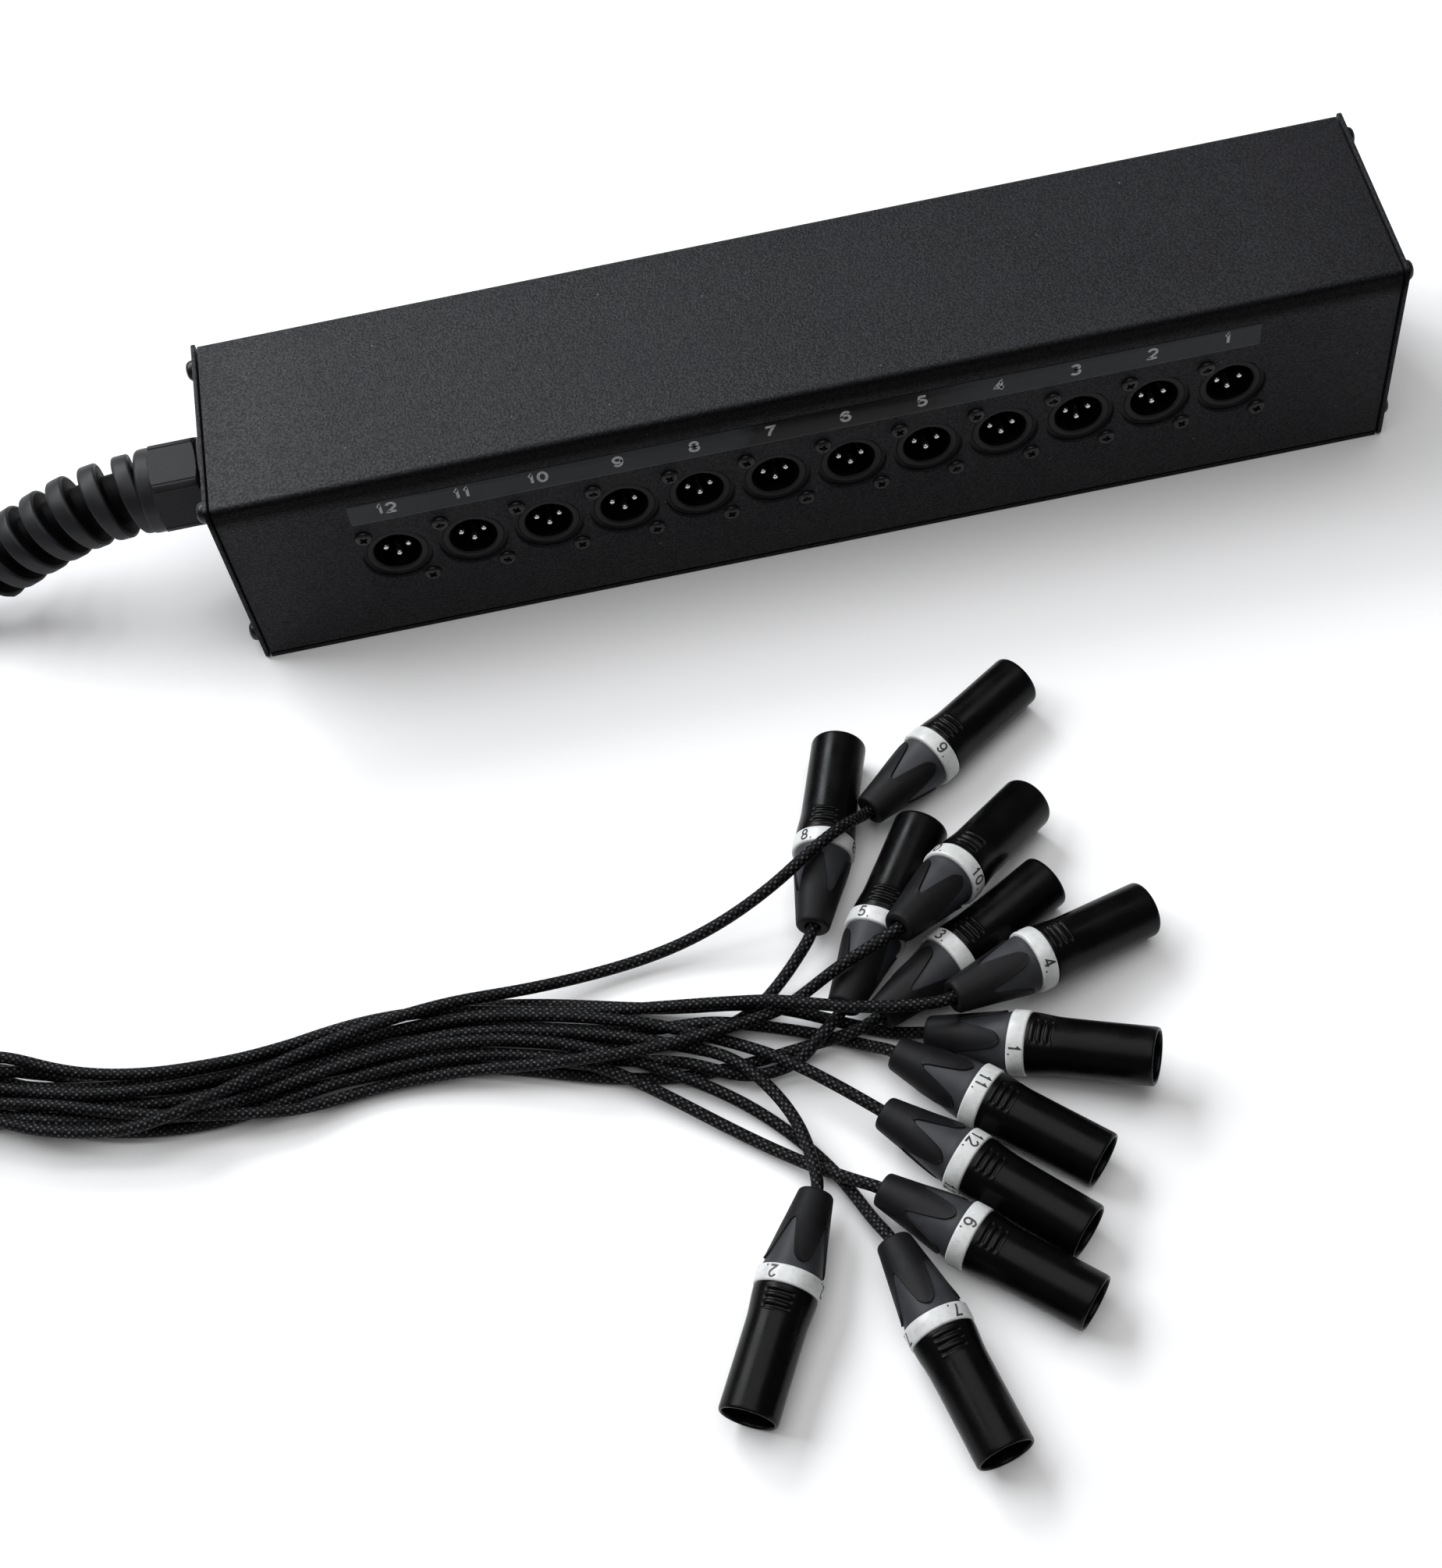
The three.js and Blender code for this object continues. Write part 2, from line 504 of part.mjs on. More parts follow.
// ---------------------------------------------------------------------- tails
// points along each tail, from the boot of its plug to the breakout's mouth
const TAILS = {
  1: [
    [-5.8, -242.5, 6.1], [-7.4, -241.9, 5.4], [-13.8, -239.3, 3.6], [-22.3, -235.4, 2.8], [-36.4, -228.8, 4.2], [-48.1, -224.2, 6.3], [-57.1, -221.3, 7.3], [-63, -219.6, 6.8],
    [-81.1, -215, 3.9], [-93.3, -211.7, 2.9], [-107, -207.8, 2.5], [-120.2, -204.2, 2.5], [-142, -199.7, 2.5], [-157.9, -198, 3], [-166.9, -197.8, 3.9], [-176.2, -198.3, 5.2],
    [-185.5, -199.4, 6.4], [-195.3, -200.9, 7.1], [-210.7, -203.4, 7.3], [-226.2, -205.1, 7.2], [-245.1, -206.1, 7.6], [-260.7, -205.5, 8.2], [-270.1, -204.4, 8.6], [-279.3, -202.6, 8.9],
    [-288.4, -200.1, 8.5], [-294.1, -197.7, 8.4], [-299.6, -194.3, 9.5], [-307.3, -189.8, 12.6], [-315.9, -186.9, 15.3], [-319, -186.1, 16.3], [-320.8, -186, 16.9]],
  2: [
    [-48.5, -289.7, 11.4], [-48.1, -287.9, 11.2], [-48.1, -284.7, 11.1], [-48.6, -275.6, 10.2], [-49.6, -269.3, 9.3], [-51.2, -263.5, 8.8], [-55.1, -254.7, 8.7], [-61.8, -244.8, 9.5],
    [-64.3, -242.1, 9.7], [-68.8, -238.2, 9.4], [-76.6, -233.4, 8.4], [-90.8, -226.8, 7.6], [-105.4, -221.2, 7.2], [-120.3, -216.6, 7.1], [-132.4, -213.6, 7.2], [-144.6, -211.4, 7.5],
    [-157, -210.3, 7.3], [-169.9, -210, 7.1], [-181.8, -210.5, 7.1], [-197.9, -211.9, 7.3], [-213.4, -213.5, 7.2], [-225.8, -214.3, 7], [-241, -214.2, 6.8], [-253.9, -213, 6.7],
    [-266.1, -210.7, 6.5], [-275, -208.3, 6.3], [-292.7, -202.2, 4.4], [-301.2, -198.8, 4.3], [-310.3, -195.8, 6], [-316.3, -195.1, 8], [-319.3, -194.7, 9.3], [-320.9, -194.6, 10.2]],
  3: [
    [-19.7, -236.8, 11.1], [-21.3, -237.4, 10.6], [-24.3, -238.1, 9.8], [-29.9, -238.8, 8.4], [-39.3, -238.4, 5.5], [-45.4, -238.5, 4.3], [-64.1, -239.3, 2.5], [-76.6, -239.5, 2.4],
    [-82.9, -239.1, 2.4], [-92.2, -237.6, 2.4], [-104.4, -234.7, 2.4], [-122.2, -228.9, 2.4], [-139.7, -223.3, 2.4], [-158, -218.9, 2.4], [-167.3, -217.6, 2.4], [-177.1, -217, 2.4],
    [-198.6, -216.9, 2.4], [-214.2, -217.4, 2.4], [-229.9, -217.6, 2.4], [-242.4, -217.1, 2.4], [-251.8, -216.1, 2.4], [-264.1, -214, 2.4], [-285.5, -209, 2.4], [-304.1, -206.9, 2.4],
    [-310.3, -205.6, 2.5], [-316.2, -202.5, 3], [-318.2, -200.9, 3.4], [-320, -198.9, 3.9], [-320.8, -197.5, 4.5]],
  4: [
    [2.3, -240.2, 20.7], [0.4, -240.5, 20.6], [-2.5, -240.3, 20.5], [-14.8, -238.5, 19.9], [-30.1, -234.3, 19.1], [-47.2, -227.2, 16.5], [-58.5, -222.9, 13.3], [-70.1, -219.4, 10.4],
    [-85.4, -215.9, 8], [-103.6, -212.1, 6.1], [-115.8, -209.4, 5.4], [-140.1, -203.8, 5.7], [-156.2, -201.1, 7], [-170.9, -200.6, 8.8], [-187, -202.4, 10.6], [-201.2, -204.7, 11.6],
    [-215, -206.5, 12.3], [-227.5, -207, 12.8], [-242.8, -206.4, 13], [-258, -204.3, 13], [-270.6, -201.2, 13.5], [-279.7, -198.1, 14.5], [-293.7, -192.6, 17.4], [-299.7, -191.1, 18],
    [-309.2, -190.1, 18.7], [-318.8, -190.3, 19.6], [-320.7, -190.5, 19.8]],
  5: [
    [-29.8, -231.8, 11.5], [-31.1, -233.6, 11.6], [-33.4, -235.6, 11.8], [-37.9, -239.1, 11], [-40.6, -240.9, 9.6], [-45.5, -243.1, 6.5], [-51.2, -244.3, 4.6], [-54.3, -244.6, 4.3],
    [-60.5, -244.5, 4.4], [-63.5, -244, 4.8], [-69.3, -242.4, 6.3], [-74.5, -240.1, 7.3], [-77.2, -238.7, 7.2], [-82.6, -235.9, 6.2], [-88.6, -233.3, 4.7], [-100.2, -229.5, 3.1],
    [-118, -224.2, 2.6], [-135.9, -219, 2.5], [-156.5, -214, 2.5], [-166.1, -212.6, 2.5], [-178.5, -212, 2.4], [-192.7, -211.9, 2.4], [-206.4, -212.2, 2.4], [-221.8, -212.7, 2.4],
    [-234.2, -212.5, 2.4], [-249.2, -211.3, 2.4], [-261.4, -209.1, 2.4], [-276.1, -204.4, 2.4], [-296, -195.7, 3], [-313.1, -188.7, 5.1], [-318.7, -186.4, 6.1], [-320.8, -186, 6.7]],
  6: [
    [-30.6, -293.3, 11.3], [-32, -292.2, 10.7], [-49.2, -278.9, 5.4], [-56.3, -273, 4.3], [-63.5, -267.1, 3.9], [-80.3, -253, 4.7], [-92.6, -243.2, 6.2], [-102.4, -236.1, 7.3],
    [-107.8, -232.5, 7.4], [-113.2, -229.6, 7], [-124.8, -224.8, 6.8], [-134.1, -222, 6.9], [-143.2, -220.1, 7], [-152.5, -218.8, 7.3], [-164.6, -218.2, 7.4], [-177.2, -218.3, 7.3],
    [-189.7, -219.2, 6.8], [-215.1, -221.9, 4.4], [-227.1, -222.6, 3.3], [-243, -222.2, 2.8], [-258.2, -220.2, 3.1], [-270.4, -217.5, 4], [-279.5, -214.2, 5.6], [-287.4, -209.5, 7.3],
    [-298.8, -201.5, 8.8], [-310, -193.3, 10.3], [-315.7, -190.2, 10.3], [-318.9, -189.4, 10.4], [-320.7, -189.5, 10.6]],
  7: [
    [-30.4, -309.7, 10.9], [-31.1, -308, 10.1], [-36.5, -294.5, 5.3], [-38.8, -288.7, 3.7], [-41.3, -283.4, 2.8], [-46.4, -274.9, 2.6], [-55.8, -262.8, 3.2], [-64.9, -253.9, 4.2],
    [-77.2, -244.8, 6.1], [-88, -238.1, 7.6], [-96, -233.2, 7.9], [-104.2, -228.6, 8.2], [-113.2, -224.4, 8.6], [-124.8, -220.3, 9.2], [-136.8, -217.2, 9.7], [-149, -215.2, 10],
    [-161.8, -214.1, 10.1], [-174.2, -214, 10], [-184, -214.5, 10], [-199.3, -216.4, 9.5], [-217.9, -218.7, 8], [-236.6, -219.3, 6.9], [-246.5, -218.9, 6.9], [-258.8, -217.9, 7.6],
    [-280.6, -215, 10.8], [-286.8, -213.4, 10.9], [-294.9, -209.9, 9.5], [-302.6, -205.1, 7.1], [-312.4, -199, 2.8], [-316.8, -194.4, 2.4], [-319.4, -192.1, 3], [-320.9, -191.1, 3.8]],
  8: [
    [-34.1, -202.1, 10.9], [-35.4, -203.7, 10.1], [-38.9, -207.2, 8.4], [-45.4, -213, 5.6], [-50.4, -216.8, 3.8], [-55.5, -220, 2.6], [-61.4, -222.8, 2.4], [-70.1, -225.6, 2.4],
    [-76.1, -226.5, 2.4], [-82.2, -226.6, 2.4], [-91.8, -225.6, 2.4], [-100.8, -223.8, 2.4], [-121.8, -218, 2.4], [-142.8, -212.1, 2.4], [-161.1, -208.3, 2.4], [-170.7, -207.4, 2.4],
    [-182.9, -207.1, 2.5], [-207.8, -207.4, 2.5], [-232.6, -207.8, 2.5], [-245.2, -206.9, 2.6], [-257.3, -205, 3.1], [-266.1, -202.8, 4], [-272.2, -200.7, 5.1], [-280.4, -197.5, 7.6],
    [-286.3, -195.9, 9.9], [-291.9, -195.3, 12.2], [-309.1, -195.3, 18.5], [-315.6, -195.6, 19.5], [-318.6, -195.7, 19.3], [-320.8, -195.9, 19.1]],
  9: [
    [-8.1, -162.5, 12.7], [-9.2, -163.7, 13.9], [-14, -168.6, 19.1], [-17.8, -172, 22.1], [-22.9, -175.4, 23.3], [-27.9, -178.3, 22.9], [-33.3, -181.1, 21.2], [-38.7, -183.5, 19],
    [-52.4, -188.3, 13.3], [-66.2, -191.7, 8.5], [-78.3, -193.8, 5.7], [-90.8, -195.5, 4.3], [-105.8, -197.1, 4.6], [-121.1, -198.8, 6.5], [-136.3, -200.2, 9.2], [-151.2, -201.3, 11.6],
    [-163.7, -202.6, 12.4], [-175.7, -204.4, 12.9], [-193.8, -208.1, 13.3], [-208.9, -212, 13.2], [-220.8, -216, 13.7], [-238.1, -222.4, 15.5], [-241.3, -223.3, 15.6], [-246.6, -224.2, 15.2],
    [-253.3, -224.5, 14.1], [-262.4, -223.8, 13], [-271.5, -222.2, 12.7], [-283.3, -219.1, 13.1], [-289.2, -217, 13.4], [-297.5, -213, 13.8], [-309.5, -206.6, 14.4], [-319.1, -200.9, 14.4],
    [-320.8, -200, 14.7]],
  10: [
    [-9.2, -215.9, 26.1], [-10.9, -216.7, 26], [-25, -220.6, 21.7], [-30.9, -222.2, 19.3], [-44.1, -225.8, 12.5], [-49.8, -227.2, 11.1], [-56.1, -228.5, 11.2], [-74.4, -231.4, 13],
    [-84.1, -232.2, 13], [-96.2, -232.2, 13], [-105.9, -231.6, 12.6], [-115.1, -230.5, 11.7], [-136.2, -226.4, 8], [-151.7, -223.8, 6.1], [-163.6, -222.6, 4.8], [-173.3, -222.2, 4],
    [-182.1, -222.6, 3.8], [-188.6, -223.3, 4.1], [-198.1, -224.8, 5.4], [-206.8, -225.6, 6.9], [-216, -225.1, 8.2], [-234.8, -222.9, 10.3], [-244.3, -221.3, 11.2], [-256, -218.5, 12.3],
    [-271.1, -214, 13.5], [-282.7, -210.4, 13.7], [-297.8, -206, 13], [-318.9, -199.7, 9.5], [-320.7, -199.6, 9.4]],
  11: [
    [-17.5, -248.6, 10.6], [-18.6, -247.5, 9.7], [-22.3, -244.3, 7.1], [-27.2, -240.4, 4.3], [-32, -237.1, 2.9], [-37.3, -234.5, 2.9], [-49.3, -230.3, 4.7], [-67.2, -225.4, 7.3],
    [-73.4, -223.9, 6.8], [-85.8, -221.7, 4.5], [-100.6, -218.7, 3.3], [-116.1, -214.4, 2.7], [-131, -210, 2.5], [-149.6, -205.2, 2.5], [-158.7, -203.6, 2.5], [-171, -202.4, 2.4],
    [-193, -202.2, 2.4], [-211.8, -202.7, 2.4], [-230.5, -203, 2.4], [-242.9, -202.2, 2.4], [-252.4, -201, 2.4], [-273.9, -196.1, 2.6], [-286.4, -193.4, 3.8], [-295.1, -191.1, 5.3],
    [-307.1, -187.5, 7.9], [-319.1, -184.1, 11.1], [-320.8, -184, 11.8]],
  12: [
    [-24.5, -268.8, 11.5], [-25.7, -267.5, 11.4], [-37.2, -255.7, 10.3], [-46.7, -247.1, 10.1], [-56.2, -239.4, 8.8], [-64.2, -234.2, 7.9], [-69.8, -231.1, 7.8], [-80.9, -225.8, 8.9],
    [-92.2, -220.8, 9], [-104.2, -216.5, 8.9], [-122.2, -211.3, 8.9], [-134.2, -208.5, 9], [-146.4, -206.6, 8.9], [-158.7, -205.5, 8.4], [-171.4, -205.2, 7.6], [-190.1, -206.2, 7.4],
    [-207.4, -208.1, 7.8], [-224.7, -209.7, 8.7], [-243.3, -210.4, 10], [-258.8, -209.6, 10.9], [-271.5, -208, 11.7], [-283, -205.3, 12.5], [-307.1, -198.4, 14.1], [-312.9, -195.7, 14.2],
    [-319, -192.8, 15.1], [-320.8, -192.3, 15]]};
for (let n = 1; n <= N_CH; n++) {
  add(`tail_${String(n).padStart(2, '0')}`, tubeThrough(TAILS[n], TAIL_R, 8), sleeve);
}

export default root;
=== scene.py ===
import math

import bmesh
import bpy
import numpy as np
from mathutils import Matrix, Vector


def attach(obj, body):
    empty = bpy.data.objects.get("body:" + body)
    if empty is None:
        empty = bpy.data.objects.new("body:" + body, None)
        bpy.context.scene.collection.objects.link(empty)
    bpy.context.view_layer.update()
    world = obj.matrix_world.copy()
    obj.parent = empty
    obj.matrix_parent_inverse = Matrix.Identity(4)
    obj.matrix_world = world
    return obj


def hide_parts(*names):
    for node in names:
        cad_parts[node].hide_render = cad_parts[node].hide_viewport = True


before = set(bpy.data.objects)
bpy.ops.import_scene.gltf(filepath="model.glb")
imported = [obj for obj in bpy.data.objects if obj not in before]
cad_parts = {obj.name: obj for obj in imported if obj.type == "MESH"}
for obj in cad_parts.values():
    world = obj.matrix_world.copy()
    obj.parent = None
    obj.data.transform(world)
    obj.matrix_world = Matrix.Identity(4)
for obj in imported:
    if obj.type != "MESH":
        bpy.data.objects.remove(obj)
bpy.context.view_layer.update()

MM = 0.001
TAU = 2 * math.pi
PITCH = 26.5

# ---------------------------------------------------------------- routes, in millimetres, as in the CAD

TRUNK_OUT = [
    (-187, 8, 45), (-196.3, 8, 44.98), (-205.6, 8, 45), (-214.89, 8, 45.03), (-224.19, 8, 45.01), (-233.49, 8, 44.85),
    (-242.76, 8, 44.16), (-251.91, 8, 42.55), (-260.75, 8, 39.7), (-269.33, 8, 36.12), (-277.75, 8, 32.18), (-286.09, 8, 28.06),
    (-294.41, 8, 23.91), (-302.8, 8.01, 19.92), (-311.49, 8.06, 16.62), (-320.27, 8.18, 13.57), (-329.27, 8.39, 11.24), (-338.42, 8.67, 9.65),
    (-347.66, 9.03, 8.72), (-356.94, 9.48, 8.28), (-366.22, 10, 8.13), (-375.5, 10.61, 8.1), (-384.77, 11.3, 8.1), (-394.04, 12.08, 8.1),
    (-403.29, 12.94, 8.1), (-412.55, 13.87, 8.1), (-421.79, 14.9, 8.1), (-431.02, 16, 8.1), (-440.24, 17.19, 8.1), (-449.45, 18.46, 8.1),
    (-458.65, 19.81, 8.1), (-467.83, 21.25, 8.1), (-477.01, 22.77, 8.1), (-486.17, 24.36, 8.11), (-495.31, 26.04, 8.19), (-504.44, 27.8, 8.32),
    (-513.55, 29.64, 8.47), (-522.65, 31.56, 8.61), (-531.73, 33.55, 8.75), (-540.79, 35.62, 8.93), (-549.84, 37.77, 9.12), (-558.86, 40, 9.31),
    (-567.87, 42.29, 9.5), (-576.86, 44.66, 9.65),
]
TRUNK_IN = [
    (-449.5, -236.7, 9.8), (-443.9, -228.2, 9.4), (-437.4, -220.3, 8.9), (-430, -213.3, 8.6), (-421.8, -207.1, 8.4), (-413, -201.9, 8.5),
    (-403.7, -197.8, 9), (-394, -194.7, 9.8), (-384, -192.8, 10.7), (-373.8, -192, 11.5), (-363.6, -192, 11.9), (-353.4, -192, 12),
]
COIL_CENTRE = (-625.0, -135.0)

# x, y, z of the middle, heading and tilt of each plug
PLUGS = {
    1: (27.6, -257.1, 11.39, -0.413, 0.1412),
    2: (-65.3, -323.4, 10.36, -2.039, -0.0324),
    3: (12.5, -217.5, 10.36, 0.5452, -0.0324),
    4: (37.4, -227.9, 14.82, 0.3455, -0.164),
    5: (-10.1, -200.2, 10.36, 1.017, -0.0324),
    6: (-2.8, -318.0, 10.36, -0.7298, -0.0325),
    7: (-20.6, -346.0, 10.36, -1.3135, -0.0324),
    8: (-22.3, -166.1, 10.36, 1.265, -0.0324),
    9: (22.5, -140.3, 10.36, 0.6128, -0.0325),
    10: (18.3, -191.6, 17.4, 0.735, -0.2408),
    11: (10.5, -274.2, 10.36, -0.7342, -0.0325),
    12: (1.7, -294.6, 10.36, -0.7779, -0.0324),
}
PLUG_LENGTH = 72.0

# each tail from the breakout's mouth to its plug
TAILS = {
    1: [
        (-320.76, -185.96, 16.93), (-314.77, -187.26, 14.98), (-308.9, -189.18, 13.12), (-303.39, -191.8, 11.06), (-298.25, -195.17, 9.12), (-292.69, -198.3, 8.34), (-286.68, -200.62, 8.6), (-280.47, -202.34, 8.85),
        (-274.16, -203.68, 8.78), (-267.79, -204.69, 8.53), (-261.39, -205.43, 8.22), (-254.96, -205.91, 7.94), (-248.52, -206.13, 7.69), (-242.07, -206.1, 7.48), (-235.62, -205.84, 7.31), (-229.19, -205.4, 7.2),
        (-222.76, -204.81, 7.17), (-216.35, -204.1, 7.2), (-209.95, -203.27, 7.26), (-203.57, -202.32, 7.29), (-197.2, -201.26, 7.18), (-190.85, -200.2, 6.84), (-184.49, -199.23, 6.26), (-178.13, -198.48, 5.48),
        (-171.76, -198.01, 4.59), (-165.37, -197.84, 3.74), (-158.95, -197.96, 3.07), (-152.53, -198.39, 2.66), (-146.12, -199.1, 2.48), (-139.73, -200.06, 2.45), (-133.39, -201.23, 2.45), (-127.08, -202.57, 2.45),
        (-120.8, -204.05, 2.45), (-114.55, -205.66, 2.45), (-108.32, -207.37, 2.47), (-102.13, -209.17, 2.56), (-95.93, -210.97, 2.74), (-89.73, -212.73, 3.08), (-83.52, -214.39, 3.61), (-77.31, -215.97, 4.35),
        (-71.12, -217.5, 5.32), (-64.97, -219.09, 6.45), (-58.8, -220.82, 7.23), (-52.65, -222.71, 6.95), (-46.6, -224.77, 6.04), (-40.66, -227.05, 5), (-34.8, -229.55, 3.98), (-28.97, -232.22, 3.23),
        (-23.17, -235.02, 2.84), (-17.34, -237.77, 3.01), (-11.48, -240.21, 4.14), (-5.8, -242.52, 6.1),
    ],
    2: [
        (-320.86, -194.57, 10.19), (-314.98, -195.26, 7.5), (-308.82, -196.2, 5.62), (-302.74, -198.22, 4.46), (-296.7, -200.63, 4.19), (-290.64, -202.99, 4.67), (-284.55, -205.18, 5.43), (-278.39, -207.23, 6.05),
        (-272.17, -209.15, 6.37), (-265.86, -210.79, 6.55), (-259.48, -212.11, 6.66), (-253.03, -213.1, 6.73), (-246.55, -213.79, 6.79), (-240.05, -214.21, 6.86), (-233.53, -214.4, 6.93), (-227.01, -214.36, 7.01),
        (-220.5, -214.08, 7.09), (-214, -213.6, 7.17), (-207.51, -212.96, 7.25), (-201.03, -212.24, 7.29), (-194.55, -211.53, 7.28), (-188.06, -210.91, 7.2), (-181.56, -210.44, 7.11), (-175.04, -210.14, 7.06),
        (-168.52, -210.04, 7.09), (-162.01, -210.13, 7.21), (-155.49, -210.42, 7.38), (-149, -210.94, 7.47), (-142.53, -211.74, 7.43), (-136.1, -212.82, 7.31), (-129.72, -214.15, 7.18), (-123.39, -215.72, 7.09),
        (-117.11, -217.47, 7.07), (-110.88, -219.38, 7.13), (-104.7, -221.45, 7.26), (-98.57, -223.68, 7.41), (-92.51, -226.09, 7.55), (-86.54, -228.69, 7.71), (-80.63, -231.43, 8.01), (-74.84, -234.37, 8.56),
        (-69.34, -237.8, 9.28), (-64.39, -242, 9.67), (-60.14, -246.93, 9.35), (-56.49, -252.3, 8.84), (-53.41, -258.04, 8.63), (-51.04, -264.1, 8.85), (-49.43, -270.38, 9.48), (-48.54, -276.78, 10.37),
        (-48.12, -283.25, 10.98), (-48.54, -289.7, 11.41),
    ],
    3: [
        (-320.84, -197.46, 4.52), (-316.72, -202.1, 3.09), (-311.16, -205.25, 2.49), (-304.92, -206.81, 2.45), (-298.49, -207.38, 2.45), (-292.07, -208, 2.45), (-285.69, -208.95, 2.45), (-279.39, -210.33, 2.45),
        (-273.13, -211.9, 2.45), (-266.85, -213.4, 2.45), (-260.53, -214.71, 2.45), (-254.17, -215.78, 2.45), (-247.77, -216.59, 2.45), (-241.34, -217.15, 2.45), (-234.9, -217.51, 2.45), (-228.45, -217.65, 2.45),
        (-222, -217.61, 2.45), (-215.55, -217.42, 2.45), (-209.1, -217.19, 2.45), (-202.65, -217.01, 2.45), (-196.2, -216.92, 2.45), (-189.75, -216.88, 2.45), (-183.3, -216.9, 2.45), (-176.85, -217.03, 2.45),
        (-170.4, -217.38, 2.45), (-163.98, -218.01, 2.45), (-157.6, -218.96, 2.45), (-151.28, -220.24, 2.45), (-145.02, -221.79, 2.45), (-138.81, -223.55, 2.45), (-132.64, -225.45, 2.45), (-126.51, -227.46, 2.45),
        (-120.41, -229.56, 2.45), (-114.31, -231.66, 2.45), (-108.17, -233.64, 2.45), (-101.95, -235.36, 2.45), (-95.67, -236.86, 2.45), (-89.35, -238.13, 2.45), (-82.97, -239.11, 2.45), (-76.54, -239.53, 2.45),
        (-70.09, -239.41, 2.45), (-63.64, -239.28, 2.56), (-57.21, -239.05, 3.07), (-50.8, -238.72, 3.7), (-44.4, -238.43, 4.49), (-38.09, -238.5, 5.81), (-31.96, -238.79, 7.77), (-25.75, -238.35, 9.42),
        (-19.74, -236.84, 11.15),
    ],
    4: [
        (-320.7, -190.51, 19.85), (-314.22, -190.18, 19.12), (-307.71, -190.19, 18.58), (-301.23, -190.84, 18.09), (-294.88, -192.26, 17.51), (-288.81, -194.4, 16.43), (-282.89, -196.86, 15.12), (-276.86, -199.17, 14.12),
        (-270.69, -201.2, 13.48), (-264.39, -202.92, 13.14), (-258.01, -204.32, 12.98), (-251.57, -205.43, 12.94), (-245.08, -206.23, 12.95), (-238.57, -206.74, 12.97), (-232.04, -207, 12.92), (-225.5, -207.02, 12.75),
        (-218.98, -206.76, 12.5), (-212.47, -206.21, 12.22), (-205.99, -205.4, 11.9), (-199.54, -204.43, 11.55), (-193.1, -203.38, 11.13), (-186.67, -202.33, 10.59), (-180.24, -201.4, 9.92), (-173.78, -200.74, 9.15),
        (-167.31, -200.46, 8.34), (-160.82, -200.64, 7.54), (-154.36, -201.28, 6.82), (-147.92, -202.26, 6.24), (-141.52, -203.48, 5.8), (-135.13, -204.85, 5.48), (-128.77, -206.3, 5.27), (-122.41, -207.8, 5.21),
        (-116.05, -209.3, 5.35), (-109.69, -210.77, 5.68), (-103.32, -212.18, 6.16), (-96.95, -213.53, 6.73), (-90.58, -214.84, 7.38), (-84.22, -216.16, 8.12), (-77.9, -217.55, 9.01), (-71.63, -219.05, 10.1),
        (-65.46, -220.73, 11.44), (-59.41, -222.6, 13.05), (-53.49, -224.68, 14.87), (-47.59, -227.03, 16.42), (-41.66, -229.56, 17.49), (-35.72, -232.11, 18.43), (-29.65, -234.43, 19.14), (-23.42, -236.38, 19.54),
        (-17.09, -237.97, 19.85), (-10.68, -239.19, 20.11), (-4.21, -240.07, 20.38), (2.28, -240.24, 20.7),
    ],
    5: [
        (-320.81, -186.02, 6.72), (-314.76, -188, 5.4), (-308.76, -190.43, 4.43), (-302.75, -192.89, 3.63), (-296.73, -195.37, 3.03), (-290.74, -197.96, 2.65), (-284.78, -200.67, 2.48), (-278.8, -203.32, 2.45),
        (-272.72, -205.72, 2.45), (-266.5, -207.74, 2.45), (-260.16, -209.37, 2.45), (-253.74, -210.61, 2.45), (-247.26, -211.52, 2.45), (-240.75, -212.15, 2.45), (-234.22, -212.54, 2.45), (-227.68, -212.72, 2.45),
        (-221.14, -212.69, 2.45), (-214.6, -212.51, 2.45), (-208.06, -212.26, 2.45), (-201.52, -212.06, 2.45), (-194.98, -211.96, 2.45), (-188.44, -211.92, 2.45), (-181.9, -211.93, 2.45), (-175.36, -212.07, 2.45),
        (-168.83, -212.42, 2.45), (-162.32, -213.08, 2.45), (-155.86, -214.1, 2.45), (-149.45, -215.44, 2.45), (-143.1, -217.01, 2.45), (-136.79, -218.72, 2.46), (-130.5, -220.5, 2.47), (-124.22, -222.34, 2.5),
        (-117.95, -224.22, 2.56), (-111.69, -226.11, 2.67), (-105.43, -227.99, 2.85), (-99.16, -229.86, 3.18), (-92.96, -231.8, 3.87), (-86.91, -233.98, 5.09), (-81.12, -236.62, 6.57), (-75.37, -239.63, 7.28),
        (-69.52, -242.35, 6.34), (-63.42, -244.07, 4.76), (-56.94, -244.61, 4.22), (-50.45, -244.14, 4.74), (-44.55, -242.73, 7.05), (-39.47, -240.11, 10.18), (-34.41, -236.37, 11.76), (-29.76, -231.83, 11.55),
    ],
    6: [
        (-320.72, -189.47, 10.58), (-314.5, -190.81, 10.31), (-308.88, -194.03, 10.24), (-303.64, -197.75, 9.48), (-298.53, -201.67, 8.77), (-293.29, -205.43, 8.16), (-287.99, -209.09, 7.39), (-282.62, -212.53, 6.34),
        (-276.89, -215.27, 5.07), (-270.83, -217.33, 4.06), (-264.59, -218.96, 3.46), (-258.25, -220.24, 3.12), (-251.85, -221.23, 2.92), (-245.41, -221.95, 2.83), (-238.95, -222.41, 2.86), (-232.48, -222.62, 3.03),
        (-226.01, -222.57, 3.37), (-219.56, -222.27, 3.9), (-213.14, -221.72, 4.58), (-206.74, -221.01, 5.31), (-200.34, -220.28, 5.99), (-193.92, -219.6, 6.52), (-187.48, -219, 6.9), (-181.02, -218.53, 7.16),
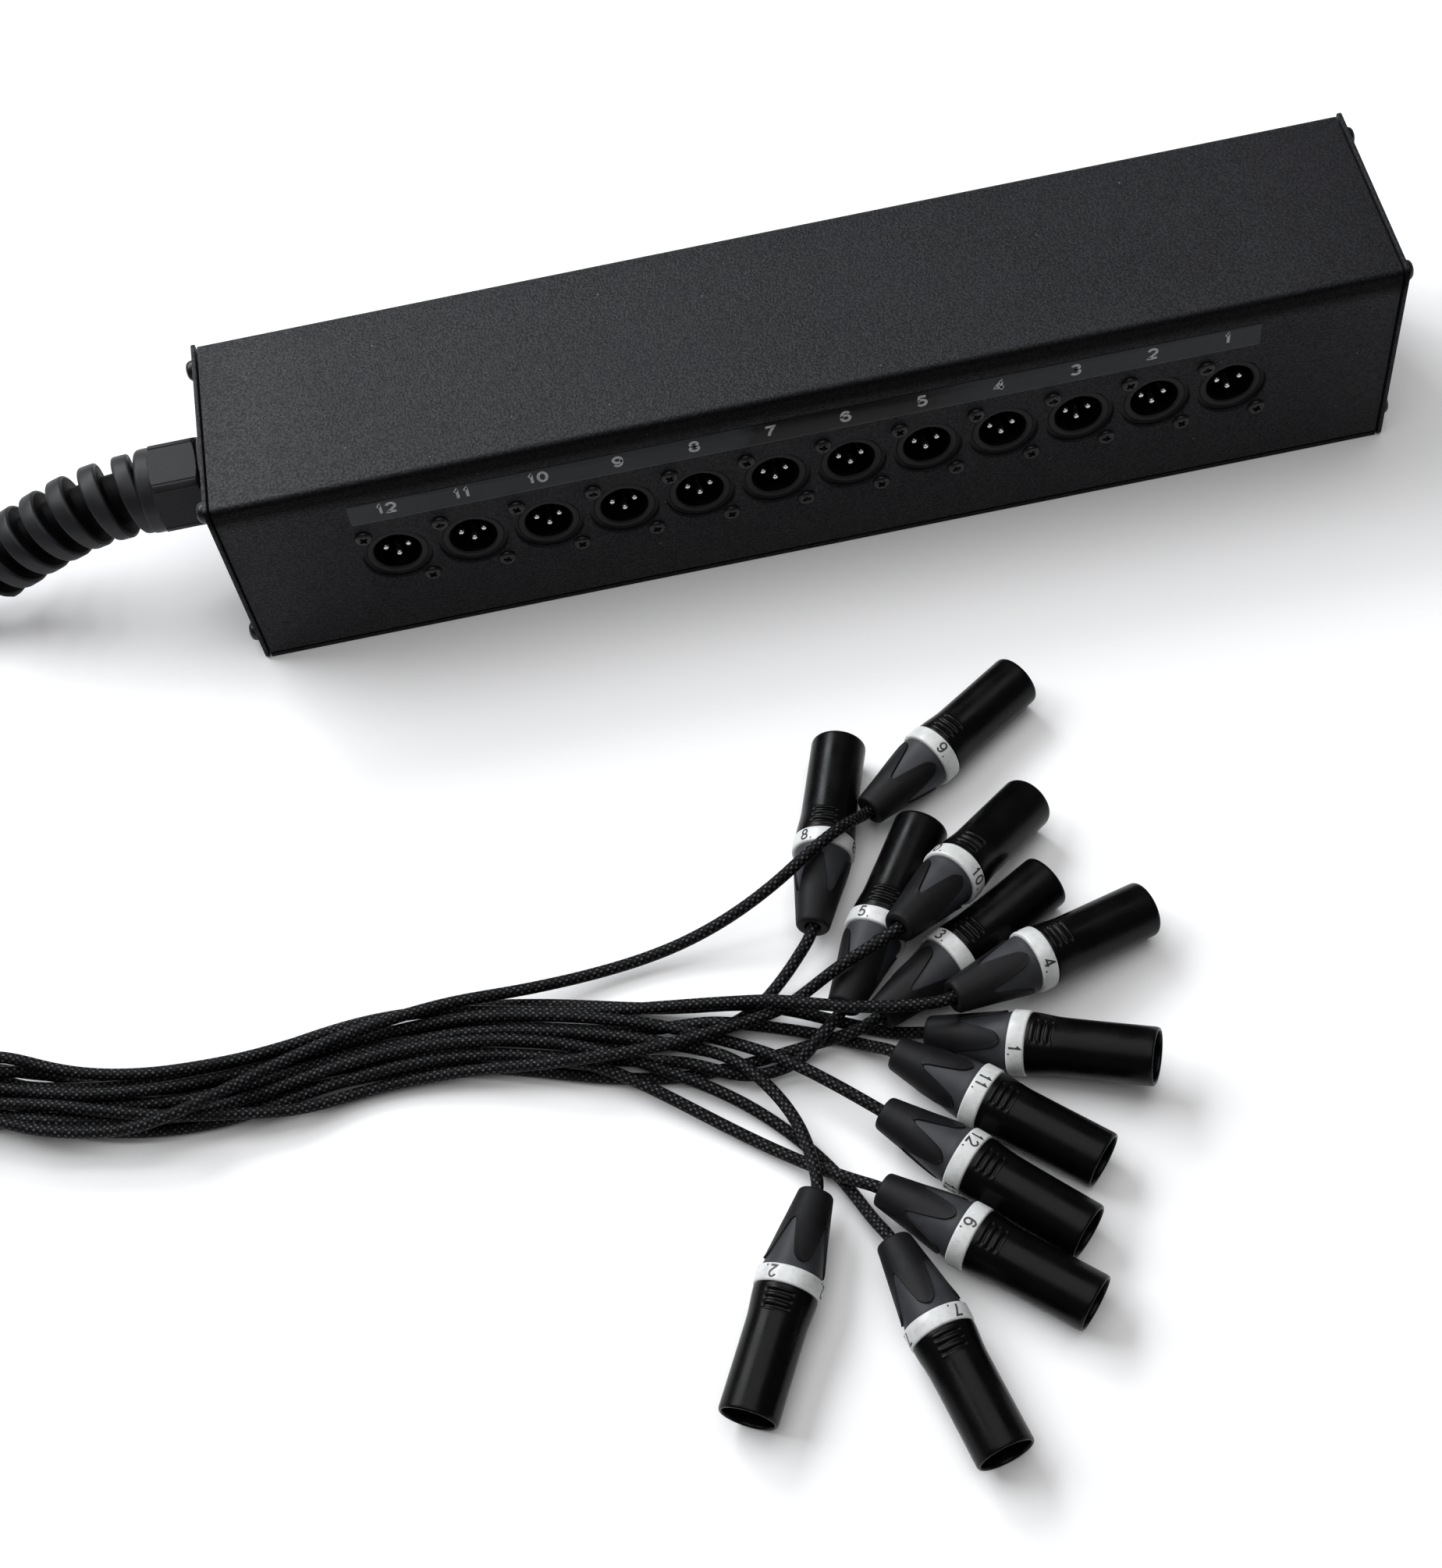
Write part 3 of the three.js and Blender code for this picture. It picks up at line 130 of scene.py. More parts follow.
        (-174.55, -218.22, 7.32), (-168.07, -218.12, 7.41), (-161.59, -218.24, 7.42), (-155.13, -218.61, 7.32), (-148.68, -219.26, 7.16), (-142.28, -220.24, 7.03), (-135.94, -221.57, 6.93), (-129.68, -223.23, 6.83),
        (-123.52, -225.23, 6.74), (-117.5, -227.62, 6.79), (-111.66, -230.41, 7.1), (-106.06, -233.65, 7.4), (-100.67, -237.23, 7.19), (-95.44, -241, 6.6), (-90.32, -244.92, 5.92), (-85.29, -248.94, 5.26),
        (-80.3, -253.04, 4.67), (-75.34, -257.18, 4.21), (-70.37, -261.33, 3.92), (-65.4, -265.49, 3.84), (-60.42, -269.62, 4), (-55.44, -273.74, 4.43), (-50.47, -277.83, 5.18), (-45.54, -281.82, 6.47),
        (-40.58, -285.67, 8.1), (-35.55, -289.46, 9.62), (-30.58, -293.26, 11.27),
    ],
    7: [
        (-320.9, -191.1, 3.81), (-316.15, -195.13, 2.45), (-311.56, -199.58, 3.09), (-306.44, -202.77, 5.42), (-301.26, -206.01, 7.55), (-295.95, -209.33, 9.19), (-290.24, -212.1, 10.48), (-284.14, -214.16, 10.98),
        (-277.84, -215.5, 10.36), (-271.52, -216.41, 9.27), (-265.16, -217.18, 8.32), (-258.76, -217.88, 7.63), (-252.33, -218.48, 7.17), (-245.87, -218.94, 6.92), (-239.4, -219.24, 6.89), (-232.93, -219.35, 7.06),
        (-226.46, -219.22, 7.4), (-220.01, -218.86, 7.84), (-213.58, -218.27, 8.36), (-207.17, -217.49, 8.92), (-200.77, -216.59, 9.41), (-194.37, -215.71, 9.75), (-187.94, -214.93, 9.93), (-181.49, -214.34, 10.01),
        (-175.02, -213.98, 10.04), (-168.54, -213.9, 10.06), (-162.07, -214.08, 10.08), (-155.61, -214.54, 10.08), (-149.17, -215.22, 10.02), (-142.76, -216.14, 9.88), (-136.39, -217.32, 9.68), (-130.09, -218.79, 9.42),
        (-123.87, -220.56, 9.13), (-117.74, -222.65, 8.82), (-111.74, -225.06, 8.5), (-105.87, -227.78, 8.22), (-100.14, -230.79, 8.02), (-94.55, -234.07, 7.9), (-89.05, -237.48, 7.63), (-83.55, -240.85, 7.05),
        (-78.08, -244.22, 6.26), (-72.74, -247.78, 5.41), (-67.6, -251.65, 4.6), (-62.72, -255.84, 3.91), (-58.11, -260.37, 3.38), (-53.79, -265.18, 2.99), (-49.75, -270.23, 2.72), (-45.98, -275.49, 2.55),
        (-42.55, -280.98, 2.61), (-39.64, -286.72, 3.34), (-37.25, -292.56, 4.78), (-35.05, -298.38, 6.56), (-32.76, -304.09, 8.59), (-30.42, -309.66, 10.93),
    ],
    8: [
        (-320.79, -195.91, 19.11), (-314.39, -195.58, 19.42), (-308.1, -195.22, 18.18), (-302.03, -195.2, 16.05), (-296.03, -195.26, 13.74), (-290.03, -195.41, 11.44), (-284.16, -196.37, 9.03), (-278.42, -198.31, 6.86),
        (-272.65, -200.59, 5.2), (-266.67, -202.66, 4.05), (-260.5, -204.34, 3.33), (-254.22, -205.63, 2.88), (-247.86, -206.58, 2.63), (-241.46, -207.23, 2.51), (-235.05, -207.65, 2.47), (-228.62, -207.85, 2.46),
        (-222.18, -207.85, 2.45), (-215.75, -207.69, 2.45), (-209.32, -207.46, 2.45), (-202.9, -207.25, 2.45), (-196.46, -207.12, 2.45), (-190.03, -207.07, 2.45), (-183.6, -207.07, 2.45), (-177.17, -207.17, 2.45),
        (-170.74, -207.43, 2.45), (-164.33, -207.96, 2.45), (-157.95, -208.8, 2.45), (-151.63, -209.97, 2.45), (-145.36, -211.41, 2.45), (-139.14, -213.03, 2.45), (-132.94, -214.75, 2.45), (-126.76, -216.53, 2.45),
        (-120.58, -218.34, 2.45), (-114.41, -220.15, 2.45), (-108.22, -221.9, 2.45), (-102, -223.52, 2.45), (-95.72, -224.92, 2.45), (-89.37, -225.97, 2.45), (-82.97, -226.56, 2.45), (-76.54, -226.5, 2.45),
        (-70.18, -225.6, 2.45), (-64, -223.83, 2.45), (-58.07, -221.33, 2.47), (-52.53, -218.18, 3.23), (-47.46, -214.59, 4.87), (-42.71, -210.68, 6.74), (-38.21, -206.54, 8.73), (-34.14, -202.06, 10.86),
    ],
    9: [
        (-320.81, -199.98, 14.71), (-315.26, -203.28, 14.61), (-309.65, -206.5, 14.41), (-303.98, -209.62, 14.1), (-298.27, -212.67, 13.83), (-292.47, -215.54, 13.58), (-286.5, -218.03, 13.29), (-280.34, -219.99, 12.95),
        (-274.06, -221.58, 12.71), (-267.73, -222.92, 12.76), (-261.34, -223.91, 13.13), (-254.93, -224.42, 13.86), (-248.54, -224.36, 14.89), (-242.18, -223.48, 15.6), (-235.96, -221.72, 15.32), (-229.91, -219.53, 14.6),
        (-223.89, -217.21, 13.95), (-217.84, -214.95, 13.5), (-211.71, -212.87, 13.28), (-205.5, -211.03, 13.23), (-199.24, -209.39, 13.25), (-192.93, -207.9, 13.25), (-186.61, -206.52, 13.18), (-180.26, -205.25, 13.02),
        (-173.89, -204.11, 12.81), (-167.49, -203.11, 12.56), (-161.07, -202.29, 12.27), (-154.64, -201.63, 11.88), (-148.22, -201.08, 11.22), (-141.84, -200.62, 10.23), (-135.49, -200.16, 9.06), (-129.14, -199.63, 7.87),
        (-122.79, -199.01, 6.77), (-116.42, -198.33, 5.79), (-110.03, -197.63, 5.01), (-103.62, -196.91, 4.47), (-97.19, -196.19, 4.24), (-90.75, -195.45, 4.35), (-84.35, -194.65, 4.84), (-77.99, -193.77, 5.73),
        (-71.73, -192.75, 7.02), (-65.58, -191.58, 8.67), (-59.55, -190.23, 10.62), (-53.65, -188.69, 12.79), (-47.86, -186.93, 15.11), (-42.19, -184.91, 17.48), (-36.62, -182.6, 19.85), (-31.12, -179.97, 22.03),
        (-25.51, -176.98, 23.24), (-20.01, -173.61, 22.95), (-15.4, -169.91, 20.42), (-11.67, -166.22, 16.62), (-8.14, -162.48, 12.69),
    ],
    10: [
        (-320.72, -199.58, 9.41), (-314.51, -200.98, 10.12), (-308.41, -202.77, 11.18), (-302.34, -204.63, 12.29), (-296.22, -206.46, 13.13), (-290.05, -208.26, 13.56), (-283.86, -210.07, 13.73), (-277.68, -211.9, 13.73),
        (-271.54, -213.83, 13.49), (-265.4, -215.77, 13.06), (-259.25, -217.6, 12.53), (-253.04, -219.26, 11.99), (-246.79, -220.73, 11.41), (-240.5, -222, 10.83), (-234.16, -222.99, 10.22), (-227.8, -223.77, 9.55),
        (-221.43, -224.49, 8.83), (-215.06, -225.17, 8.08), (-208.69, -225.58, 7.19), (-202.35, -225.33, 6.09), (-196.05, -224.51, 5.03), (-189.73, -223.49, 4.24), (-183.35, -222.68, 3.85), (-176.92, -222.28, 3.83),
        (-170.49, -222.27, 4.16), (-164.07, -222.59, 4.73), (-157.69, -223.15, 5.42), (-151.32, -223.89, 6.13), (-144.99, -224.82, 6.87), (-138.69, -225.92, 7.69), (-132.44, -227.17, 8.63), (-126.22, -228.48, 9.72),
        (-119.99, -229.66, 10.88), (-113.71, -230.65, 11.91), (-107.34, -231.42, 12.54), (-100.93, -231.97, 12.87), (-94.49, -232.27, 12.97), (-88.04, -232.29, 12.95), (-81.6, -232.02, 12.98), (-75.18, -231.47, 13.01),
        (-68.8, -230.65, 12.68), (-62.47, -229.63, 11.95), (-56.17, -228.5, 11.23), (-49.86, -227.23, 11.12), (-43.79, -225.75, 12.61), (-38.15, -224.21, 15.32), (-32.66, -222.67, 18.33), (-27, -221.14, 21),
        (-21.08, -219.61, 23.02), (-15.09, -217.96, 24.75), (-9.19, -215.91, 26.07),
    ],
    11: [
        (-320.8, -184.05, 11.77), (-314.75, -185.26, 9.89), (-308.71, -187.01, 8.33), (-302.66, -188.82, 6.88), (-296.58, -190.65, 5.57), (-290.43, -192.37, 4.44), (-284.21, -193.92, 3.53), (-277.91, -195.3, 2.86),
        (-271.58, -196.66, 2.49), (-265.29, -198.21, 2.45), (-258.99, -199.73, 2.45), (-252.63, -200.97, 2.45), (-246.21, -201.88, 2.45), (-239.76, -202.49, 2.45), (-233.29, -202.86, 2.45), (-226.81, -203, 2.45),
        (-220.33, -202.95, 2.45), (-213.85, -202.76, 2.45), (-207.37, -202.54, 2.45), (-200.89, -202.35, 2.45), (-194.41, -202.24, 2.45), (-187.93, -202.2, 2.45), (-181.45, -202.21, 2.45), (-174.97, -202.31, 2.45),
        (-168.49, -202.58, 2.45), (-162.04, -203.13, 2.45), (-155.62, -204.02, 2.45), (-149.25, -205.26, 2.45), (-142.95, -206.77, 2.45), (-136.69, -208.43, 2.47), (-130.45, -210.19, 2.5), (-124.23, -212, 2.56),
        (-118.01, -213.83, 2.66), (-111.79, -215.65, 2.82), (-105.56, -217.41, 3.04), (-99.29, -219.02, 3.34), (-92.97, -220.42, 3.76), (-86.62, -221.55, 4.36), (-80.29, -222.57, 5.34), (-74.06, -223.78, 6.64),
        (-67.8, -225.28, 7.27), (-61.56, -226.91, 6.74), (-55.38, -228.58, 5.72), (-49.24, -230.36, 4.66), (-43.13, -232.31, 3.68), (-37.11, -234.57, 2.93), (-31.36, -237.51, 3.06), (-26.24, -241.06, 4.75),
        (-21.68, -244.77, 7.49), (-17.53, -248.65, 10.59),
    ],
    12: [
        (-320.78, -192.27, 15.05), (-314.83, -194.71, 14.54), (-309.06, -197.61, 14.07), (-302.92, -199.67, 14.05), (-296.65, -201.27, 13.59), (-290.44, -203.09, 13), (-284.25, -204.98, 12.55), (-278, -206.67, 12.17),
        (-271.66, -207.99, 11.73), (-265.25, -208.95, 11.28), (-258.81, -209.65, 10.88), (-252.35, -210.11, 10.52), (-245.87, -210.33, 10.14), (-239.39, -210.34, 9.73), (-232.92, -210.17, 9.28), (-226.45, -209.85, 8.82),
        (-220, -209.37, 8.4), (-213.54, -208.77, 8.04), (-207.09, -208.07, 7.77), (-200.65, -207.33, 7.57), (-194.2, -206.63, 7.43), (-187.74, -206.02, 7.35), (-181.26, -205.57, 7.36), (-174.78, -205.3, 7.5),
        (-168.29, -205.24, 7.79), (-161.82, -205.38, 8.18), (-155.34, -205.71, 8.55), (-148.88, -206.28, 8.83), (-142.45, -207.11, 8.96), (-136.05, -208.19, 8.99), (-129.69, -209.5, 8.95), (-123.38, -211, 8.91),
        (-117.1, -212.66, 8.9), (-110.86, -214.44, 8.91), (-104.66, -216.35, 8.93), (-98.5, -218.41, 8.97), (-92.43, -220.71, 9.03), (-86.46, -223.26, 9.06), (-80.57, -225.97, 8.9), (-74.69, -228.66, 8.31),
        (-68.89, -231.52, 7.81), (-63.25, -234.72, 7.93), (-57.84, -238.26, 8.52), (-52.71, -242.13, 9.42), (-47.74, -246.25, 10.07), (-42.83, -250.49, 10.2), (-38.05, -254.88, 10.3), (-33.42, -259.42, 10.57),
        (-28.9, -264.06, 10.98), (-24.46, -268.76, 11.5),
    ],
}
TAIL_MM = {1: 329.6, 2: 320.9, 3: 311.1, 4: 334.8, 5: 308.4, 6: 324.9, 7: 344.8, 8: 304.1, 9: 338.7, 10: 323.7, 11: 319.4, 12: 318.5}
BREAK_X, BREAK_Y, BREAK_Z = -323.0, -192.0, 12.0


# ---------------------------------------------------------------- camera

def make_camera():
    right = Vector((0.9805220, -0.1651923, -0.1062455))
    up = Vector((0.1962799, 0.8437630, 0.4995379))
    forward = Vector((-0.0071262, 0.5106618, -0.8597522))
    data = bpy.data.cameras.new("camera")
    data.sensor_width = 36.0
    data.lens = 36.0 * 3100.0 / 2009.0
    data.shift_x = 0.0
    data.shift_y = (1200.0 - 2009.0 / 2) / 2009.0
    data.clip_start, data.clip_end = 0.02, 50.0
    cam = bpy.data.objects.new("camera", data)
    bpy.context.scene.collection.objects.link(cam)
    m = Matrix.Identity(4)
    for i, axis in enumerate((right, up, -forward)):
        for j in range(3):
            m[j][i] = axis[j]
    m[0][3], m[1][3], m[2][3] = -0.056881, -0.592491, 0.677558
    cam.matrix_world = m
    bpy.context.scene.camera = cam


make_camera()

# ---------------------------------------------------------------- numbers


def spline(points, step, start=None, end=None):
    """Points about `step` apart on a cubic spline through `points`."""
    p = np.asarray(points, float)
    d = np.r_[0, np.cumsum(np.linalg.norm(np.diff(p, axis=0), axis=1))]
    n = len(p)
    h = np.diff(d)
    a = np.zeros((n, n))
    b = np.zeros((n, 3))
    a[0, 0] = a[-1, -1] = 1
    for i in range(1, n - 1):
        a[i, i - 1], a[i, i], a[i, i + 1] = h[i - 1], 2 * (h[i - 1] + h[i]), h[i]
        b[i] = 6 * ((p[i + 1] - p[i]) / h[i] - (p[i] - p[i - 1]) / h[i - 1])
    m = np.linalg.solve(a, b)
    q = np.linspace(0, d[-1], max(2, int(round(d[-1] / step)) + 1))
    i = np.clip(np.searchsorted(d, q, side="right") - 1, 0, n - 2)
    t0, t1 = (q - d[i])[:, None], (d[i + 1] - q)[:, None]
    hh = h[i][:, None]
    return m[i] * t1**3 / (6 * hh) + m[i + 1] * t0**3 / (6 * hh) + (p[i] / hh - m[i] * hh / 6) * t1 + (p[i + 1] / hh - m[i + 1] * hh / 6) * t0


def along(points):
    return np.r_[0, np.cumsum(np.linalg.norm(np.diff(points, axis=0), axis=1))]


def tangents(points):
    t = np.gradient(points, axis=0)
    return t / np.linalg.norm(t, axis=1)[:, None]


def frames(points, up=(0, 0, 1)):
    """Two normals at each point, carried along without twist."""
    t = tangents(points)
    n = np.zeros_like(t)
    u = np.array(up, float)
    u = u - t[0] * (u @ t[0])
    n[0] = u / np.linalg.norm(u)
    for i in range(1, len(t)):
        v = n[i - 1] - t[i] * (n[i - 1] @ t[i])
        n[i] = v / np.linalg.norm(v)
    return t, n, np.cross(t, n)


def smooth(x, a, b):
    t = np.clip((x - a) / (b - a), 0, 1)
    return t * t * (3 - 2 * t)


# ---------------------------------------------------------------- mesh helpers


def piece(name, mesh, material, replaces=(), matrix=None):
    obj = bpy.data.objects.new(name, mesh)
    bpy.context.scene.collection.objects.link(obj)
    if material is not None:
        mesh.materials.clear()
        for m in material if isinstance(material, (list, tuple)) else [material]:
            mesh.materials.append(m)
    if matrix is not None:
        obj.matrix_world = matrix
    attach(obj, "root")
    if replaces:
        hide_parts(*replaces)
    return obj


class Bag:
    """Collects quads and triangles, in millimetres, into one mesh."""

    def __init__(self):
        self.v, self.f, self.s, self.k, self.n = [], [], [], [], 0

    def add(self, verts, faces, slot=0, shade=True):
        v = np.asarray(verts, float).reshape(-1, 3)
        self.v.append(v)
        self.f += [[int(i) + self.n for i in q] for q in faces]
        self.s += [shade] * len(faces)
        self.k += [slot] * len(faces)
        self.n += len(v)
        return self

    def mesh(self, name, weld=0.0005, sharp=38.0, outward=True):
        me = bpy.data.meshes.new(name)
        me.from_pydata((np.vstack(self.v) * MM).tolist(), [], self.f)
        me.polygons.foreach_set("material_index", self.k)
        me.polygons.foreach_set("use_smooth", self.s)
        bm = bmesh.new()
        bm.from_mesh(me)
        if weld:
            bmesh.ops.remove_doubles(bm, verts=bm.verts, dist=weld * MM)
        if outward:
            bmesh.ops.recalc_face_normals(bm, faces=bm.faces)
        bm.to_mesh(me)
        bm.free()
        me.validate()
        me.update()
        if sharp:
            me.set_sharp_from_angle(angle=math.radians(sharp))
        return me


def grid(rings, close=True, cap0=False, cap1=False):
    """Rows of equal rings joined by quads, with flat caps if asked."""
    r = np.asarray(rings, float)
    rows, cols = r.shape[:2]
    v = r.reshape(-1, 3)
    f = []
    last = cols if close else cols - 1
    for i in range(rows - 1):
        a, b = i * cols, (i + 1) * cols
        for j in range(last):
            k = (j + 1) % cols
            f.append((a + j, a + k, b + k, b + j))
    extra = []
    if cap0:
        c = len(v) + len(extra)
        extra.append(r[0].mean(0))
        f += [(c, (j + 1) % cols, j) for j in range(last)]
    if cap1:
        c = len(v) + len(extra)
        extra.append(r[-1].mean(0))
        o = (rows - 1) * cols
        f += [(c, o + j, o + (j + 1) % cols) for j in range(last)]
    if extra:
        v = np.vstack([v, extra])
    return v, f


def lathe(profile, segs=48, phase=0.0, loop=False, cap0=False, cap1=False, radius=None):
    """Profile (s, r) turned about the local X axis. radius(s, r, angle) may change r."""
    p = list(profile)
    if loop:
        p = p + [p[0]]
    ang = phase + TAU * np.arange(segs) / segs
    rings = []
    for s, r in p:
        rr = np.full(segs, float(r)) if radius is None else radius(s, r, ang)
        rings.append(np.stack([np.full(segs, float(s)), rr * np.cos(ang), rr * np.sin(ang)], 1))
    return grid(rings, True, cap0, cap1)


def turn(vf, matrix):
    """Applies a 4x4 (millimetres) to the points of a grid."""
    v, f = vf
    m = np.array(matrix, float)
    return v @ m[:3, :3].T + m[:3, 3], f


def axis_to(direction, at, up=(0, 0, 1)):
    """Matrix that takes local X to direction."""
    d = np.array(direction, float)
    d /= np.linalg.norm(d)
    u = np.array(up, float)
    if abs(d @ u) > 0.99:
        u = np.array((0.0, 1.0, 0.0))
    side = np.cross(u, d)
    side /= np.linalg.norm(side)
    top = np.cross(d, side)
    m = np.eye(4)
    m[:3, 0], m[:3, 1], m[:3, 2], m[:3, 3] = d, side, top, at
    return m


def tube_mesh(name, path, radius, segs, nose=0.0, bend_shade=None):
    """A closed tube on path, with its distance round and along kept for the weave."""
    p = np.asarray(path, float)
    t, n, b = frames(p)
    s = along(p)
    ang = TAU * np.arange(segs) / segs
    r = np.broadcast_to(radius(s) if callable(radius) else radius, s.shape)
    rings = p[:, None, :] + r[:, None, None] * (np.cos(ang)[None, :, None] * n[:, None, :] + np.sin(ang)[None, :, None] * b[:, None, :])
    v, f = grid(rings, True, True, True)
    me = bpy.data.meshes.new(name)
    me.from_pydata((v * MM).tolist(), [], f)
    me.polygons.foreach_set("use_smooth", [True] * len(f))
    route = me.attributes.new("route", "FLOAT_VECTOR", "CORNER")
    data = np.zeros((len(me.loops), 3), np.float32)
    rows = len(p)
    k = 0
    for i in range(rows - 1):
        for j in range(segs):
            a0, a1 = j / segs, (j + 1) / segs
            for a, d in ((a0, s[i]), (a1, s[i]), (a1, s[i + 1]), (a0, s[i + 1])):
                data[k] = (a, d, 0)
                k += 1
    route.data.foreach_set("vector", data.ravel())
    bm = bmesh.new()
    bm.from_mesh(me)
    bmesh.ops.recalc_face_normals(bm, faces=bm.faces)
    bm.to_mesh(me)
    bm.free()
    me.update()
    me.set_sharp_from_angle(angle=math.radians(50))
    return me


def baked(obj):
    """A mesh of obj with its modifiers applied; obj goes."""
    bpy.context.view_layer.update()
    dg = bpy.context.evaluated_depsgraph_get()
    me = bpy.data.meshes.new_from_object(obj.evaluated_get(dg))
    me.name = obj.name + "_mesh"
    bpy.data.objects.remove(obj)
    return me


def loose(name, mesh):
    obj = bpy.data.objects.new(name, mesh)
    bpy.context.scene.collection.objects.link(obj)
    return obj


def bevelled(name, mesh, width, segments=2, angle=40.0, thickness=None):
    obj = loose(name, mesh)
    if thickness is not None:
        m = obj.modifiers.new("thick", "SOLIDIFY")
        m.thickness = thickness * MM
        m.offset = -1.0
        m.use_even_offset = True
    m = obj.modifiers.new("bevel", "BEVEL")
    m.width = width * MM
    m.segments = segments
    m.limit_method = "ANGLE"
    m.angle_limit = math.radians(angle)
    m.harden_normals = False
    me = baked(obj)
    me.polygons.foreach_set("use_smooth", [True] * len(me.polygons))
    me.set_sharp_from_angle(angle=math.radians(34))
    return me


def arc(cx, cy, rx, ry, a0, a1, n=18):
    a = np.radians(np.linspace(a0, a1, n))
    return [(cx + rx * math.cos(t), cy + ry * math.sin(t)) for t in a]


# centre lines of the digits in a unit box, as strokes; a closed stroke ends where it starts
STROKES = {
    "0": [arc(0.5, 0.5, 0.5, 0.5, 90, 450, 40)],
    "1": [[(0.10, 0.74), (0.40, 0.86), (0.60, 1.02), (0.60, 0.0)]],
    "2": [arc(0.5, 0.70, 0.47, 0.30, 168, -38, 22) + [(0.0, 0.0), (1.0, 0.0)]],
    "3": [arc(0.47, 0.75, 0.43, 0.25, 155, -90, 20) + [(0.36, 0.5)], [(0.36, 0.5)] + arc(0.47, 0.25, 0.50, 0.25, 90, -155, 22)],
    "4": [[(0.74, 0.0), (0.74, 1.0), (0.0, 0.27), (1.04, 0.27)]],
    "5": [[(0.93, 1.0), (0.20, 1.0), (0.08, 0.50)] + arc(0.47, 0.31, 0.50, 0.31, 140, -150, 24)],
    "6": [arc(0.52, 0.52, 0.50, 0.48, 38, 178, 18) + [(0.01, 0.42)] + arc(0.5, 0.31, 0.49, 0.31, 175, 530, 34)],
    "7": [[(0.0, 1.0), (1.0, 1.0)] + [(0.66, 0.60), (0.44, 0.30), (0.34, 0.0)]],
    "8": [arc(0.5, 0.75, 0.42, 0.25, -90, 270, 34), arc(0.5, 0.25, 0.50, 0.25, 90, 450, 36)],
    ".": [[(0.0, 0.0), (0.01, 0.0)]],
}
STROKES["9"] = [[(1 - x, 1 - y) for x, y in st] for st in STROKES["6"]]
STROKES["3"] = [STROKES["3"][0], STROKES["3"][1]]


def stroke_solid(line, half, deep, step=0.35):
    """A closed flat ribbon along line, `half` to each side and `deep` thick, in the XY plane."""
    p = np.array(line, float)
    closed = np.linalg.norm(p[0] - p[-1]) < 1e-6
    out = [p[0]]
    for a, b in zip(p[:-1], p[1:]):
        n = max(1, int(math.ceil(np.linalg.norm(b - a) / step)))
        out += [a + (b - a) * k / n for k in range(1, n + 1)]
    p = np.array(out[:-1] if closed else out)
    nxt = np.roll(p, -1, 0) - p
    prv = p - np.roll(p, 1, 0)
    if not closed:
        nxt[-1] = prv[-1]
        prv[0] = nxt[0]
    nxt /= np.linalg.norm(nxt, axis=1)[:, None]
    prv /= np.linalg.norm(prv, axis=1)[:, None]
    na, nb = np.stack([-prv[:, 1], prv[:, 0]], 1), np.stack([-nxt[:, 1], nxt[:, 0]], 1)
    m = na + nb
    m /= np.maximum(np.linalg.norm(m, axis=1), 1e-6)[:, None]
    k = np.minimum(1 / np.maximum((m * na).sum(1), 0.35), 1.9)[:, None]
    left, right = p + m * half * k, p - m * half * k
    z0, z1 = -deep / 2, deep / 2
    col = lambda q, z: np.c_[q, np.full(len(q), z)]
    rings = np.stack([col(left, z1), col(right, z1), col(right, z0), col(left, z0)], 1)
    if closed:
        return grid(np.vstack([rings, rings[:1]]), True)
    return grid(rings, True, True, True)


def digits(text, height, width, thick, gap, deep):
    """Digits drawn from strokes, centred on their width and height. Returns points and faces."""
    v, f, n, x = [], [], 0, 0.0
    for ch in text:
        w = {"1": width * 0.72, ".": thick}.get(ch, width)
        for st in STROKES[ch]:
            if ch == ".":
                line = [(x + thick * 0.25, thick / 2), (x + thick * 0.95, thick / 2)]
            else:
                line = [(x + thick / 2 + sx * (w - thick), thick / 2 + sy * (height - thick)) for sx, sy in st]
            a, b = stroke_solid(line, thick / 2, deep)
            v.append(a)
            f += [[i + n for i in q] for q in b]
            n += len(a)
        x += w + gap
    v = np.vstack(v)
    v[:, 0] -= (x - gap) / 2
    v[:, 1] -= height / 2
    return v, f


# ---------------------------------------------------------------- materials


